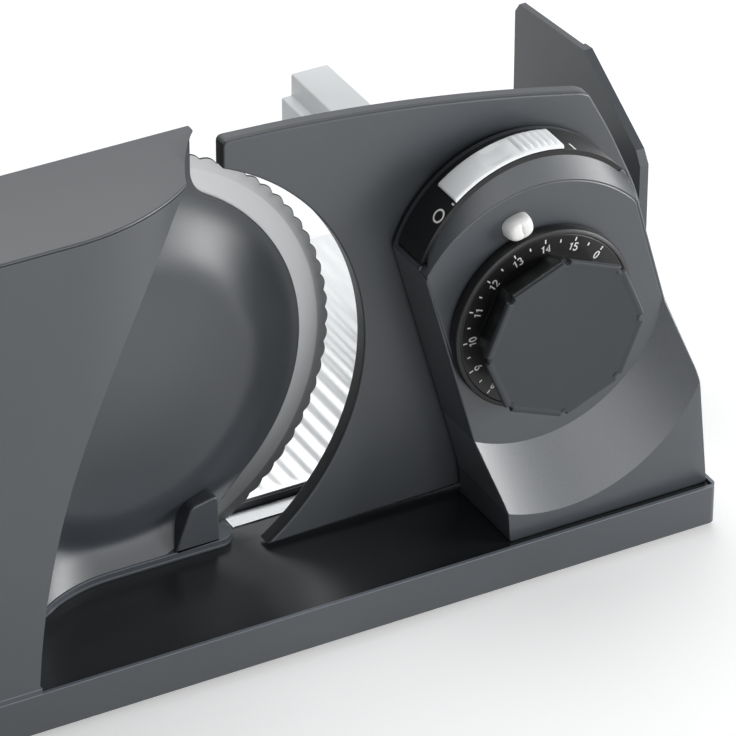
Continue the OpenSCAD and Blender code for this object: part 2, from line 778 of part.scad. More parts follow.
// Thread of the worm as radius against the share of a turn
thread_top_share = 0.3;
function worm_radius(share) =
    let (half = PI * worm_m / 4 - 0.25 * worm_m, away = abs(share - round(share)) * worm_lead)
    let (tip = half - flank_share * thread_top_share * worm_m)
    worm_r + worm_m * max(-root_share, min(thread_top_share, (half - away) / (flank_share * worm_m)));

module worm() {
    turns = 5;
    z0 = idler_z - worm_lead * turns / 2;
    color("silver") place() difference() {
        translate([-motor_x, -worm_y, z0])
            linear_extrude(turns * worm_lead, twist = -360 * turns, slices = 10 * turns, $fn = 16)
                polygon([for (i = [0:15]) let (share = i / 16)
                    worm_radius(share) * [cos(360 * share), sin(360 * share)]]);
        rod_z([-motor_x, -worm_y], shaft_r + seat, [-50, 50]);
    }
}

module cooling_fan() {
    z = motor_z1 + 5;
    color("ivory") place() difference() {
        union() {
            rod_z([-motor_x, -worm_y], motor_r - 4.5, [z, z + 1.2]);
            rod_z([-motor_x, -worm_y], 5, [z, z + 5]);
            for (a = [0:45:315]) translate([-motor_x, -worm_y, z + 0.6]) rotate([0, 0, a])
                translate([5 - 0.5, -0.6, 0]) cube([motor_r - 4.5 - 5, 1.2, 4]);
        }
        rod_z([-motor_x, -worm_y], shaft_r + seat, [z - over, z + 9]);
    }
}

module armature() {
    z = [motor_z0 + 14, motor_z1 - 12];
    color("brown") place() difference() {
        union() {
            difference() {
                rod_z([-motor_x, -worm_y], motor_r - 7, z);
                for (a = [0:36:324]) translate([-motor_x, -worm_y, z[0] - over]) rotate([0, 0, a])
                    translate([motor_r - 11, -1, 0]) cube([6, 2, z[1] - z[0] + 2 * over]);
            }
            rod_z([-motor_x, -worm_y], 5, [motor_z0 + 6, z[0] + 1]);
        }
        rod_z([-motor_x, -worm_y], shaft_r + seat, [z[0] - 20, z[1] + 20]);
    }
}

module motor_can() {
    color("silver") place() difference() {
        union() {
            rod_z([-motor_x, -worm_y], motor_r, [motor_z0, motor_z1]);
        }
        rod_z([-motor_x, -worm_y], motor_r - 1.2, [motor_z0 + 1.5, motor_z1 - 1.5]);
        rod_z([-motor_x, -worm_y], shaft_r + axle_gap, [motor_z0 + 1.5 - over, motor_z1 + over]);
    }
}

module motor_stator() {
    color("darkslategray") place() translate([-motor_x, -worm_y, motor_z0 + 12]) linear_extrude(motor_l - 22)
        for (a = [[20, 160], [200, 340]]) ring_sector([motor_r - 6, motor_r - 1.2 - seat], a);
}

module motor_bracket() {
    z = motor_z1 + seat;
    color("gray") place() difference() {
        rod_z([-motor_x, -worm_y], motor_r, [z, z + 2]);
        rod_z([-motor_x, -worm_y], shaft_r + 2, [z - over, z + 3]);
        for (s = [-1, 1]) rod_z([-motor_x + s * 12, -worm_y], 1.6, [z - over, z + 3]);
    }
}

module motor_screws() {
    z = motor_z1;
    color("gray") place() for (s = [-1, 1]) {
        rod_z([-motor_x + s * 12, -worm_y], 1.5, [z + 2 * seat, z + 2 + 2 * seat]);
        rod_z([-motor_x + s * 12, -worm_y], 2.6, [z + 2 + 2 * seat, z + 3.4]);
    }
}

module worm_bearing() {
    color("goldenrod") place() difference() {
        rod_z([-motor_x, -worm_y], bearing_r, [bearing_z - bearing_t / 2, bearing_z + bearing_t / 2]);
        rod_z([-motor_x, -worm_y], shaft_r + axle_gap, [bearing_z - bearing_t, bearing_z + bearing_t]);
    }
}

module suppressor() {
    x = box_x[0] + 8;
    color("gold") place() {
        box([x, x + 18], [-45, -27], [foot_z + seat, foot_z + 30]);
    }
}

// STOP PLATE

module plate_outline() {
    top_c = [11.9, plate_z1 - 0.9 - plate_top_r];
    intersection() {
        difference() {
            polygon([[plate_x0, plate_z0], [plate_x0, plate_z1 + over], [plate_x1 - 27.7, plate_z1],
                [plate_x1 - 27.7, 74.1], [plate_x1 - 18.3, 54.8], [plate_x1 - 8.3, 32], [plate_x1 - 5.1, 21.8],
                [plate_x1, plate_z0]]);
            circle(plate_arc_r);
        }
        translate(top_c) circle(plate_top_r, $fn = 720);
    }
}

module stop_plate() {
    color("dimgray") place() difference() {
        along_y([plate_front, plate_back]) plate_outline();
        for (p = [pin_low, pin_high]) rod_y(p, pin_r / 2 + seat, [plate_front - over, plate_back - 1.5]);
        rod_y([dial_x, arm_top - 3], 1.3, [plate_front - over, plate_back - 1.5]);
    }
}

module guide_pins() {
    color("silver") place() for (p = [pin_low, pin_high]) {
        rod_y(p, pin_r, [plate_front - 19, plate_front - seat]);
        rod_y(p, pin_r / 2, [plate_front - 2, plate_back - 1.5 - seat]);
    }
}

module cam_follower() {
    color("gainsboro") place() difference() {
        union() {
            box([dial_x - arm_w / 2, dial_x + arm_w / 2], [cam_pin_y - cam_pin_r - arm_end, plate_front - seat],
                [arm_top - 6, arm_top]);
            box([dial_x - arm_w, dial_x + arm_w], [plate_front - flange_t, plate_front - seat],
                [arm_top - 6, arm_top]);
            rod_z([dial_x, cam_pin_y], cam_pin_r, [arm_top - 3, dial_z - drum_r + 2.2]);
        }
        rod_y([dial_x, arm_top - 3], 1.3, [plate_front - 6, plate_front + over]);
    }
}

module plate_screws() {
    color("gray") place() rod_y([dial_x, arm_top - 3], 1.25, [plate_front - 5.5, plate_back - 1.5 - seat]);
}

// KNOB TOWER

arc_a = [38.9, 163];
arc_c = [dial_x, arc_z];
knee_l = [dial_x - 17.3, -55];
knee_r = [dial_x + 58.5, -28.5];
function arc_point(r, a) = arc_c + r * [cos(a), sin(a)];
band_y = [-face_y + bevel_d, tower_back_y - 1.8];
tower_in = band_t + wall;
tower_bolts = [[dial_x - 30.5, 12], [dial_x + 31, 44], [dial_x + 45, -15], [dial_x - 9.5, -60],
    [dial_x + 53, -62]];
bush_t = 2;
tower_foot_x = min(dial_x + 64, base_right - rim_w - slip);

// Front outline of the tower, moved inwards by a wall
module tower_outline(inset) {
    r = arc_r - inset;
    translate(arc_c) ring_sector([0, r], arc_a);
    polygon([arc_point(r, arc_a[1]), knee_l + [inset, 0], [dial_x - 17 + inset, deck_z + inset],
        [tower_foot_x - inset, deck_z + inset], knee_r - [inset, 0], arc_point(r, arc_a[0])]);
}

module disc_y(p, r, y) {
    translate([p[0], y + seat, p[1]]) rotate([90, 0, 0]) cylinder(r = r, h = seat);
}

// Oblique cone that scoops the front of the tower's foot
module foot_scoop() {
    toe = toe_y - face_y;
    hull() {
        disc_y([dial_x, dial_z], face_r, -face_y, $fn = 72);
        disc_y([dial_x + 0.34 * 2 * toe, dial_z - 1.16 * 2 * toe], face_r + 0.585 * 2 * toe,
            -face_y - 2 * toe, $fn = 72);
    }
}

// Bevel between the switch arc and the round front face
module face_bevel() {
    hull() {
        disc_y([dial_x, arc_z - 0.9], arc_r - 1.1, -face_y + bevel_d, $fn = 72);
        disc_y([dial_x, dial_z], face_r, -face_y + seat, $fn = 72);
    }
}

module tower_bosses(r, y) {
    for (p = tower_bolts) rod_y(p, r, y);
}

slot_play_a = 1.5;
slot_a = [stem_a - stem_half_a - switch_turn - slot_play_a, stem_a + stem_half_a + slot_play_a];
slot_y0 = -36;
tower_bolt_l = 36;
tower_bore_l = 38;
bolt_head_sink = 1.4;
flush = 0.1;
bush_reach = 5;
slot_y = [slot_y0, slot_y0 + slot_w];

module knob_tower() {
    color("dimgray") place() difference() {
        union() {
            difference() {
                union() {
                    along_y([-face_y + bevel_d, tower_back_y]) tower_outline(0);
                    intersection() {
                        along_y([-face_y, -face_y + bevel_d + seat]) tower_outline(0);
                        face_bevel();
                    }
                    intersection() {
                        along_y([-toe_y, -face_y + bevel_d + seat]) tower_outline(0);
                        box([0, 2 * dial_x], [-2 * toe_y, 0], [2 * deck_z, dial_z - 20]);
                    }
                }
                foot_scoop();
                along_y([-face_y + wall, tower_back_y + over]) tower_outline(tower_in);
                along_y([tower_back_y - back_t, tower_back_y + over]) tower_outline(wall);
            }
            tower_bosses(3.4, [-face_y + wall / 2, tower_back_y - back_t - seat]);
        }
        along_y(band_y) translate(arc_c) ring_sector([arc_r - band_t, arc_r + over], [arc_a[0] + 4, arc_a[1] - 3]);
        along_y(slot_y) translate(arc_c) ring_sector([arc_r - 3 * band_t, arc_r + over], slot_a);
        rod_y([dial_x, dial_z], 4.5 + axle_gap, [-face_y - over, 0]);
        tower_bosses(plate_bolt_r + bolt_play, [-tower_bore_l, 0]);
    }
}

module tower_back() {
    y = [tower_back_y - back_t, tower_back_y];
    color("slategray") place() difference() {
        along_y(y) tower_outline(wall + slip);
        rod_y([dial_x, dial_z], drum_r + axle_gap, [y[0] - over, y[1] + over]);
        box([dial_x - cam_pin_r - 0.5, dial_x + cam_pin_r + 0.5], [y[0] - over, y[1] + over],
            [arm_top - 1, dial_z]);
        box([dial_x - arm_w / 2 - 0.5, dial_x + arm_w / 2 + 0.5], [y[0] - over, y[1] + over],
            [arm_top - 6.5, arm_top + 0.5]);
        box([dial_x - arm_w - clear, dial_x + arm_w + clear],
            [tower_back_y - flange_t + tower_gap - clear, y[1] + over],
            [arm_top - 6 - clear, arm_top + clear]);
        for (p = [pin_low, pin_high]) rod_y(p, pin_r + bush_t + seat, [y[0] - over, y[1] + over]);
        tower_bosses(plate_bolt_r + slip, [y[0] - over, y[1] + over]);
        tower_bosses(bolt_head_r + slip, [tower_back_y - bolt_head_sink, y[1] + over]);
    }
}

module tower_screws() {
    color("gray") place() {
        tower_bosses(plate_bolt_r, [-tower_bolt_l, tower_back_y - bolt_head_sink]);
        tower_bosses(bolt_head_r, [tower_back_y - bolt_head_sink + seat, tower_back_y - flush]);
    }
}

module guide_bushes() {
    color("peru") place() for (p = [pin_low, pin_high]) difference() {
        rod_y(p, pin_r + bush_t, [tower_back_y - back_t - bush_reach, tower_back_y - flush]);
        rod_y(p, pin_r + run, [tower_back_y - back_t - bush_reach - over, 0]);
    }
}

module switch_band() {
    color("black") place() difference() {
        along_y([band_y[0] + seat, band_y[1] - seat]) translate(arc_c)
            ring_sector([arc_r - band_t + seat, arc_r], [arc_a[0] + 4.2, arc_a[1] - 3.2]);
        along_y(slot_y) translate(arc_c) ring_sector([arc_r - 2 * band_t, arc_r + over], slot_a);
    }
}

module scale_pointer() {
    a = 104;
    along = [cos(a), sin(a)];
    across = [-sin(a), cos(a)];
    c = [dial_x, dial_z];
    color("white") place() along_y([-face_y - 1.6, -face_y - seat])
        polygon([c + (dial_r + clear + 0.2) * along - 4.5 * across, c + (dial_r + 8) * along - 4 * across,
            c + (dial_r + 9) * along, c + (dial_r + 8) * along + 4 * across,
            c + (dial_r + clear + 0.2) * along + 4.5 * across]);
}

module microswitch() {
    x = dial_x + 5;
    z = arc_z + 17;
    color("black") place() {
        box([x, x + 18], [tower_back_y - back_t - 10, tower_back_y - back_t - seat], [z, z + 9]);
        rod_z([x + 2, tower_back_y - back_t - 6], 1.2, [z + 8, z + 11]);
    }
}

// DIAL

module scale_disc() {
    color("black") place() union() {
        turned_y([dial_x, dial_z]) polygon([[0, -face_y - 0.6 - dial_t], [dial_r - 1.4, -face_y - 0.6 - dial_t],
            [dial_r, -face_y - dial_t + 0.9], [dial_r, -face_y - 0.6], [0, -face_y - 0.6]]);
        rod_y([dial_x, dial_z], 4.5, [-face_y - 1, drum_y0]);
    }
}

module dial_grip() {
    y0 = -face_y - 0.6 - dial_t;
    color("dimgray") place() translate([dial_x, y0, dial_z]) rotate([90, 0, 0])
        cylinder(r1 = grip_foot_r, r2 = grip_r, h = grip_h, $fn = 8);
}

// Cam drum: a round bar whose notch turns once in each lead, open at both ends
cam_lead = 360 / dial_turn;
notch_half = 43.5;
module cam_drum() {
    length = drum_y1 - drum_y0;
    start = -90 + 360 * (drum_y1 - cam_pin_y) / cam_lead;
    color("ivory") place() translate([dial_x, drum_y1, dial_z]) rotate([90, 0, 0])
        linear_extrude(length, twist = 360 * length / cam_lead, slices = 36, $fn = 16)
            rotate(start) difference() {
                circle(drum_r, $fn = 36);
                ring_sector([4.5, 2 * drum_r], [-notch_half, notch_half], $fn = 24);
            }
}

// SWITCH

module switch_slider() {
    r = arc_r + 0.2;
    y = [band_y[0] + 0.2, band_y[0] + 0.2 + slider_w];
    color("gainsboro") place() {
        along_y(y) translate(arc_c) ring_sector([r, r + slider_t], [slider_a0, slider_a1]);
        along_y([-36 + (slot_w - stem_w) / 2, -36 + (slot_w + stem_w) / 2]) translate(arc_c)
            ring_sector([arc_r - 3 * band_t - 1, r + slider_t / 2], [stem_a - stem_half_a, stem_a + stem_half_a]);
    }
}

module switch_arm() {
    y = [-37, -29.5];
    r = arc_r - 3 * band_t - 1 - seat;
    color("gray") place() along_y(y) translate(arc_c) {
        ring_sector([r - 3, r], [stem_a - 8, stem_a + 8]);
        ring_sector([30, r - 1], [stem_a - 8, stem_a - 4]);
    }
}

// CARRIAGE

frame_x1 = table_x1 - guard_t;
frame_top = table_z - sheet_t;
sheet_y = [table_y0 + 0.8, table_y1 - 1];
guard_y0 = table_y0 + 1.8;
guard_bolts = [for (y = [guard_y0 + 10, (guard_y0 + guard_y1) / 2, guard_y1 - 10])
    [y, (frame_z + frame_top) / 2]];

module carriage_frame() {
    bay = [(frame_x1 - table_x0 - 2) / 6, (table_y1 - table_y0 - 32) / 3];
    color("dimgray") place() difference() {
        box([table_x0, frame_x1], [table_y0, table_y1], [frame_z, frame_top]);
        for (i = [0:5], j = [0:2]) {
            x = table_x0 + 2 + i * bay[0];
            y = table_y0 + 22 + j * bay[1];
            box([x, x + bay[0] - 2], [y, y + bay[1] - 2], [frame_z - over, frame_top - 1.4]);
        }
        for (p = guard_bolts) rod_x(p, 0.95, [frame_x1 - 8, frame_x1 + over]);
    }
}

module table_sheet() {
    count = floor((frame_x1 - table_x0 - 6) / rib_pitch);
    color("white") place() {
        box([table_x0 + 1, frame_x1 - 0.5], sheet_y, [frame_top, table_z]);
        for (i = [0:count]) translate([table_x0 + 4 + i * rib_pitch, 0, table_z])
            along_y([sheet_y[0] + 2, sheet_y[1] - 2])
                polygon([[-0.9, -0.2], [-0.4, rib_h], [0.4, rib_h], [0.9, -0.2]]);
    }
}

guard_shape = [[guard_y0, frame_z + axis_h], [guard_y0, 19 + axis_h], [guard_y0 + 3.3, 23.9 + axis_h],
    [guard_y0 + 40.3, guard_z - 0.2 + axis_h], [guard_y0 + 45, guard_z - 0.6 + axis_h],
    [guard_y1 - 3, guard_z - 3.8 + axis_h], [guard_y1, guard_z - 8 + axis_h], [guard_y1, frame_z + axis_h]];

// Carries an outline in Y and Z along X
module along_x(x) {
    translate([x[0], 0, 0]) rotate([90, 0, 90]) linear_extrude(x[1] - x[0]) children();
}

module guard_wall() {
    shape = [for (q = guard_shape) [q[0], q[1] - axis_h]];
    color("dimgray") place() difference() {
        union() {
            along_x([frame_x1 + seat, table_x1]) polygon(shape);
            along_x([table_x1 - seat, guard_flange_x]) difference() {
                polygon([shape[0], shape[1], shape[2], shape[3], shape[4], shape[4] - [0, 2.6], shape[3] - [0, 2.7],
                    shape[2] + [1.6, -1.7], shape[1] + [2.5, 0], shape[0] + [2.5, 0]]);
            }
        }
        for (p = guard_bolts) rod_x(p, 1.2, [frame_x1 - over, guard_flange_x + over]);
    }
}

module guard_screws() {
    color("gray") place() for (p = guard_bolts) {
        rod_x(p, 0.9, [frame_x1 - 7, table_x1 + seat]);
        rod_x(p, 1.6, [table_x1 + seat, table_x1 + 1.4]);
    }
}

module runner_blocks() {
    color("darkgray") place() for (x = runner_x) difference() {
        box([x, x + runner_l], [rail_y - runner_w / 2, rail_y + runner_w / 2],
            [rear_z + clear, frame_z - seat]);
        rod_x([rail_y, rail_z], rail_r + run, [x - over, x + runner_l + over]);
    }
}

module glide_pads() {
    color("darkgray") place() for (x = [runner_x[0], runner_x[1]])
        box([x, x + runner_l], [base_rear - 18, base_rear - 8], [rear_z + clear, frame_z - seat]);
}

// PUSHER

module pusher_body() {
    z = [table_z + rib_h + clear, pusher_z - 9];
    x = [pusher_grip_x - 18, frame_x1 - 2];
    color("gainsboro") place() {
        box(x, [pusher_y0, pusher_y0 + 2.5], z);
        box([x[0], x[0] + 2.5], [pusher_y0, pusher_y0 + 14], z);
        box([x[1] - 2.5, x[1]], [pusher_y0, pusher_y0 + 14], z);
    }
}

module pusher_grip() {
    x = [pusher_grip_x, pusher_grip_x + pusher_grip_w];
    z = [pusher_z - 36, pusher_z - 9, pusher_z];
    t = 2.5;
    color("gainsboro") place() along_y([pusher_y0 + 2.5, table_y1 - slip]) difference() {
        polygon([[x[0], z[0]], [x[0], z[1]], [x[0] + 4, z[1]], [x[0] + 4, z[2]], [x[1], z[2]], [x[1], z[0]]]);
        polygon([[x[0] + t, z[0] - over], [x[0] + t, z[1] - t], [x[0] + 4 + t, z[1] - t], [x[0] + 4 + t, z[2] - t],
            [x[1] - t, z[2] - t], [x[1] - t, z[0] - over]]);
    }
}

module spike_plate() {
    x = [pusher_grip_x - 12, frame_x1 - 8];
    z = [table_z + 12, pusher_z - 20];
    color("silver") place() {
        box(x, [pusher_y0 - 1, pusher_y0 - seat], z);
        for (px = [x[0] + 8:14:x[1] - 4], pz = [z[0] + 6:14:z[1] - 2])
            translate([px, pusher_y0 - 1 + seat, pz]) rotate([90, 0, 0])
                cylinder(r1 = 1.2, r2 = 0.2, h = 4, $fn = 16);
    }
}

base_tray();
bottom_plate();
rubber_feet();
base_screws();
cord_inlet();
motor_housing();
housing_back();
housing_screws();
blade_axle();
guide_strip();
carriage_rail();
knob_tower();
tower_back();
tower_screws();
switch_band();
scale_pointer();
microswitch();
guide_bushes();
motor_can();
motor_stator();
motor_bracket();
motor_screws();
worm_bearing();
idler_axle();
suppressor();
blade();
blade_gear();
blade_bush();
blade_screws();
blade_cap();
worm_wheel();
idler_pinion();
motor_shaft();
armature();
worm();
cooling_fan();
stop_plate();
guide_pins();
cam_follower();
plate_screws();
scale_disc();
dial_grip();
cam_drum();
switch_slider();
switch_arm();
carriage_frame();
table_sheet();
guard_wall();
runner_blocks();
glide_pads();
guard_screws();
pusher_body();
pusher_grip();
spike_plate();
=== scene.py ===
"""Looks of the electric food slicer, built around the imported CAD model.

Sizes are in millimetres from the point where the blade's axis meets the cutting plane: X to the dial
side, Y to the food side, Z up. placed() turns them into the frame's metres.
"""

import json
import math

import bmesh
import bpy
import numpy as np
from mathutils import Matrix, Vector


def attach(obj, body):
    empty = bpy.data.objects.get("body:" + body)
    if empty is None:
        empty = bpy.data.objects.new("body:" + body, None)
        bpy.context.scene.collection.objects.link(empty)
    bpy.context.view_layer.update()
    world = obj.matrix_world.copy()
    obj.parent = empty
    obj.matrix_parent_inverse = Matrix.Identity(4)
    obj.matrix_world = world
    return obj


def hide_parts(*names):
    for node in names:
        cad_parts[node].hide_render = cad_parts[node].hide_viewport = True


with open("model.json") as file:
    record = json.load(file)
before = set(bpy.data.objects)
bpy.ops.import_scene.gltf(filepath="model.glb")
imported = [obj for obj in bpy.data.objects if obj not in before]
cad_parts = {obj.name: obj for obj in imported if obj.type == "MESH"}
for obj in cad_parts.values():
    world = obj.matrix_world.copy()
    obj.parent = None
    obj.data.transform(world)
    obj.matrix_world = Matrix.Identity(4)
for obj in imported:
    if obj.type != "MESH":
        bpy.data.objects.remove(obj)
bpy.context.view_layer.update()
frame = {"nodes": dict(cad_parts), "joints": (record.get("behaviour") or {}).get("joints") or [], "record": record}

# Places and sizes, in millimetres

MM = 0.001
BLADE = np.array(next(j for j in frame["joints"] if j["name"] == "blade_turn")["pos_m"])

# The least length to divide by, how near in metres two points of a new piece or of a CAD piece are taken
# as one, and the slack of a comparison
TINY, SAME_POINT, SAME_CORNER, SLACK = 1e-9, 1e-7, 1e-6, 1e-6

# Base
GROUND_Z, DECK_Z, FOOT_Z = -91.0, -74.4, -70.9
BASE_FRONT, BASE_X0, BASE_X1 = -61.3, -138.0, 207.5

RIM_L, RIM_R, RIM_FRONT, DECK_SKIN = 1.6, 1.3, 1.5, 0.3
# Painted highlight: heights over the deck of the lighter band along the rim's top, and the depth of the lighter
# plinth top
RIM_HIGHLIGHT_FROM, RIM_HIGHLIGHT_TO, PLINTH_HIGHLIGHT = 0.9, 1.3, 0.35

# Motor housing: the front panel with its leaning plane, its right edge, the scoop, the dome and the cover
HOUSING_X0, HOUSING_TOP = -135.4, 90.0
LEAN, PANEL_X, PANEL_R, PANEL_OVER_CROWN = 10.0, -33.8, 79.5, 1.0
EDGE_X, EDGE_Z, EDGE_R = 223.2, -95.5, 280.1
SCOOP_FOOT_R, SCOOP_TOP_W, SCOOP_BACK = 50.1, 22.0, 21.3
SCOOP_FOOT_POWER, SCOOP_TOP_POWER = 2.0, 1.25
FOOT_STEP, FLARE_H = 11.2, 20.0
DOME_H, CROWN_H, ROLL_R, ROLL_W = 10.5, 2.5, 45.5, 27.4
COVER_BACK, COVER_FRONT, COVER_R = -1.4, -2.6, 72.9
LIP_X, LIP_R = 32.2, 13.0
SHELL_EDGE_R, SHELL_SIDE_R, SHELL_TURN = 0.6, 0.5, np.linspace(0, math.pi / 2, 6)
GROOVE_UNDER, GROOVE_RISE, GROOVE_DEEP = 0.05, np.array([0.5, 0.4, 0.1, 0.0]), 0.35
RECESS_W, RECESS_DEEP, SHELL_THIN = 5.0, 0.4, 0.3
FLARE_ROWS_H, FLARE_ROWS, UPPER_ROWS, PANEL_COLS, COVER_COLS, PANEL_CROWD = 24.0, 34, 74, 40, 84, 0.8
CREASE_SPAN, CREASE_SLIP, HALVINGS = 24.0, 0.01, 40
COVER_FOOT = [(19.3, 0.0), (21.6, 6.5), (25.6, 17.0), (35.9, 19.2), (36.4, 0.0)]
COVER_FOOT_ROUND, COVER_FOOT_Y = [0.3, 2, 2, 2.5, 0.3], -12.5

# Stop plate
PLATE_X0, PLATE_X1, PLATE_Z0, PLATE_Z1 = 36.0, 203.0, -73.0, 93.2
PLATE_FRONT, PLATE_BACK = -19.5, -13.5
PLATE_ARC_R, PLATE_TOP_R, PLATE_TOP_X, PLATE_TOP_DROP = 89.2, 689.4, 11.9, 0.9
PLATE_TOP_X1 = PLATE_X1 - 27.7
PLATE_RIGHT = [(PLATE_X1, PLATE_Z0), (PLATE_X1 - 5.1, 21.8), (PLATE_X1 - 8.3, 32.0), (PLATE_X1 - 18.3, 54.8)]
BLACK_FRONT, BLACK_BACK = 0.5, 0.2
GREY_LINE_X, GREY_LINE_Y, GREY_LINE_Z = PLATE_X0 + 2.0, PLATE_FRONT + 2.2, 66.0

# Blade
BLADE_R, BLADE_T, SCALLOPS, SCALLOP_D, BEVEL_R = 85.0, 1.3, 76, 1.0, 80.5
BLADE_BACK, DISH_D, DISH_R, DISH_W, AXLE_R = 0.2, 1.9, 38.0, 8.0, 5.5
# Width of the painted shade, a dark line along the blade's scalloped edge
EDGE_SHADE_LINE = 0.3

# Table
TABLE_TOP, TABLE_X, TABLE_Y, SHEET_T = -71.0, (26.0, 213.0), (6.0, 149.0), 0.8
RIB_PITCH, RIB_H, RIB_START, RIB_POINTS = 6.6, 0.32, 3.0, 505
RIB_FADE = np.array([0.4, 1.6, 3.0, 4.5])

# Dial and grip
DIAL_X, DIAL_Z, DIAL_R = 143.0, 7.3, 34.7
DIAL_FRONT, DIAL_BACK, GRIP_FRONT, GRIP_R = -48.5, -44.1, -62.9, 31.6
HALF_FLAT, CORNER_CUT = 22.5, 0.985
NOTCH_HALF, NOTCH_SOFT, NOTCH_DEEP, NOTCH_R, NOTCH_Y = 1.7, 0.9, 1.2, 29.2, -59.4
GRIP_BLACK_Y = -61.2

# Knob tower: face, bevel, scoop, switch arc and band, then the corners of the outline
FACE_Y, FACE_R, BEVEL_Y, TOE_Y = -43.5, 51.1, -39.5, -56.5
FACE_SHARES, FACE_INSETS, FACE_RISE = (0, 0.5, 0.8, 0.95), (0.9, 0.6, 0.3, 0.0), 0.16
SCOOP_DOWN, TOWER_RIM, TOWER_WALL, TOWER_RECESS = 7.0, 0.7, 2.6, 2.5
TOE_DRIFT_X, TOE_DRIFT_Z, TOE_GROWTH = 0.34, -1.16, 0.585
BEVEL_DRIFT, BEVEL_GROWTH = 3.325, -1.425
ARC_Z, ARC_R = 21.5, 46.5
ARC_FROM, ARC_TO, BAND_FROM, BAND_TO = 163.0, 38.9, 160.0, 42.9
BAND_FRONT, BAND_BACK, BAND_T, TOWER_BACK = -39.5, -23.4, 2.7, -21.6
BAND_SLIP, BAND_SIDE_SLIP = 0.1, 0.05
KNEE_L, KNEE_R, TOE_L, TOE_R = (125.4, -61.8), (201.5, -28.5), (126.3, DECK_Z), (205.9, DECK_Z)
DIAL = np.array([DIAL_X, DIAL_Z])
ARC = np.array([DIAL_X, ARC_Z])

# Switch slider
SLIDER_FROM, SLIDER_TO, SLIDER_FRONT, SLIDER_W = 76.0, 130.0, -39.2, 12.1
SLIDER_R, SLIDER_T, SLIDER_ROUND, SLIDER_SOFT = 46.72, 1.5, 0.8, 2.4
RIDGE_FROM, RIDGE_TO, RIDGE_STEP, RIDGE_H, RIDGE_POWER = 77.2, 95.5, 3.05, 1.1, 0.7
THUMB_AT, THUMB_HALF, THUMB_DEEP = 104.5, 7.5, 1.1

# Pointer
PILL_TURN, PILL_OUT, PILL_U, PILL_V, PILL_H, PILL_POWER, PILL_FALL = 104.0, 39.0, 5.2, 4.1, 5.0, 2.8, 7
FOLD_DEEP, FOLD_W = 0.5, 0.45

# Signs: the numbers' height and place, the turn of number 13, and the band's signs by degrees and Y
NUMBER_H, NUMBER_R, TICK_R, NUMBER_STEP, NUMBER_13 = 2.7, 26.9, 31.9, 22.5, 113.4
DIGIT_STEP, DIGIT_HALF, DIAL_LINE, BAND_LINE, MARK_H = 0.74, 0.3, 0.5, 0.7, 0.03
OFF_SIGN, ON_SIGN, TICK_SIGN = (139.0, -36.2), (70.0, -37.0), (131.4, -38.4)
OFF_R, ON_HALF, TICK_LOW, TICK_HIGH = 2.25, 2.1, -0.5, 0.9

# Sides of the pusher and the guard wall that the photograph shows elsewhere than the CAD
PUSHER_SPLIT_X, PUSHER_SHIFT = 132.0, 14.0
GUARD_SPLIT_X, GUARD_SHIFT = 216.5, -3.0

# Light
SOFT_LIGHT, FLOOR_GLOW, FLOOR_HALF = 0.26, 0.29, 3.0
WALL_FROM, WALL_TO, DIM_CEILING = 0.45, 0.8, 0.2
DIM_SIDE, DIM_FROM, DIM_TO, LIGHT_WAY = 0.15, -0.8, 0.1, (0.8, 0.6)
SKY_COLOR = (0.96, 0.98, 1.0, 1)

# Camera: azimuth, elevation and roll in degrees, the point it looks at and its distance
CAMERA_TURN, CAMERA_AIM, CAMERA_AWAY = (28.68, 32.76, 0.23), np.array([101.84, 1.55, -28.03]), 1910.3
SENSOR_W, FOCAL_LENGTH, CLIP = 36.0, 269.2, (0.05, 30.0)


def placed(points):
    """Millimetres from the blade's centre to metres in the frame."""
    return np.asarray(points, float) * MM + BLADE


def smooth_step(t):
    """0 below 0, 1 above 1, and 3t^2 - 2t^3 between."""
    t = np.clip(t, 0, 1)
    return t * t * (3 - 2 * t)


def between(a, b, t):
    """The value a share t of the way from a to b."""
    return a + (b - a) * t


# Meshes


def mesh_piece(name, points, faces, body, slot, stands_for=(), sharp=32):
    """A mesh object from points in millimetres and a list of faces, riding on a body."""
    mesh = bpy.data.meshes.new(name)
    mesh.from_pydata(placed(points).tolist(), [], [tuple(int(i) for i in f) for f in faces])
    piece = bpy.data.objects.new(name, mesh)
    bpy.context.scene.collection.objects.link(piece)
    finish_mesh(piece, sharp)
    dressed(piece, body, slot, stands_for)
    return piece


def finish_mesh(piece, sharp):
    """Merges doubles, turns every face outwards and shades smooth up to the sharp angle, in degrees."""
    work = bmesh.new()
    work.from_mesh(piece.data)
    bmesh.ops.remove_doubles(work, verts=work.verts, dist=SAME_POINT)
    bmesh.ops.recalc_face_normals(work, faces=work.faces)
    work.to_mesh(piece.data)
    work.free()
    piece.data.shade_smooth()
    piece.data.set_sharp_from_angle(angle=math.radians(sharp))


def dressed(piece, body, slot, stands_for=()):
    """Gives a piece its finish and its body, and hides the CAD nodes that it stands for."""
    piece.data.materials.clear()
    piece.data.materials.append(FINISH[slot])
    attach(piece, body)
    if stands_for:
        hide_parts(*stands_for)


def weighted(piece):
    """Normals that follow the large faces, so that flat faces stay flat up to a rounded edge."""
    step = piece.modifiers.new("flat faces", "WEIGHTED_NORMAL")
    step.keep_sharp = True


def grid_faces(rows, cols, close_rows=False, close_cols=False, start=0):
    """Four-cornered faces of a grid of points, counted row by row, closed into a tube where asked."""
    row_count = rows if close_rows else rows - 1
    col_count = cols if close_cols else cols - 1
    i, j = np.meshgrid(np.arange(row_count), np.arange(col_count), indexing="ij")
    a, b = i * cols + j, i * cols + (j + 1) % cols
    c, d = (i + 1) % rows * cols + (j + 1) % cols, (i + 1) % rows * cols + j
    return (np.stack([a, b, c, d], -1).reshape(-1, 4) + start).tolist()


def end_caps(rows, cols):
    """The two faces that close the ends of a grid of points that is closed into a tube."""
    return [list(range(cols)), list(range((rows - 1) * cols, rows * cols))]


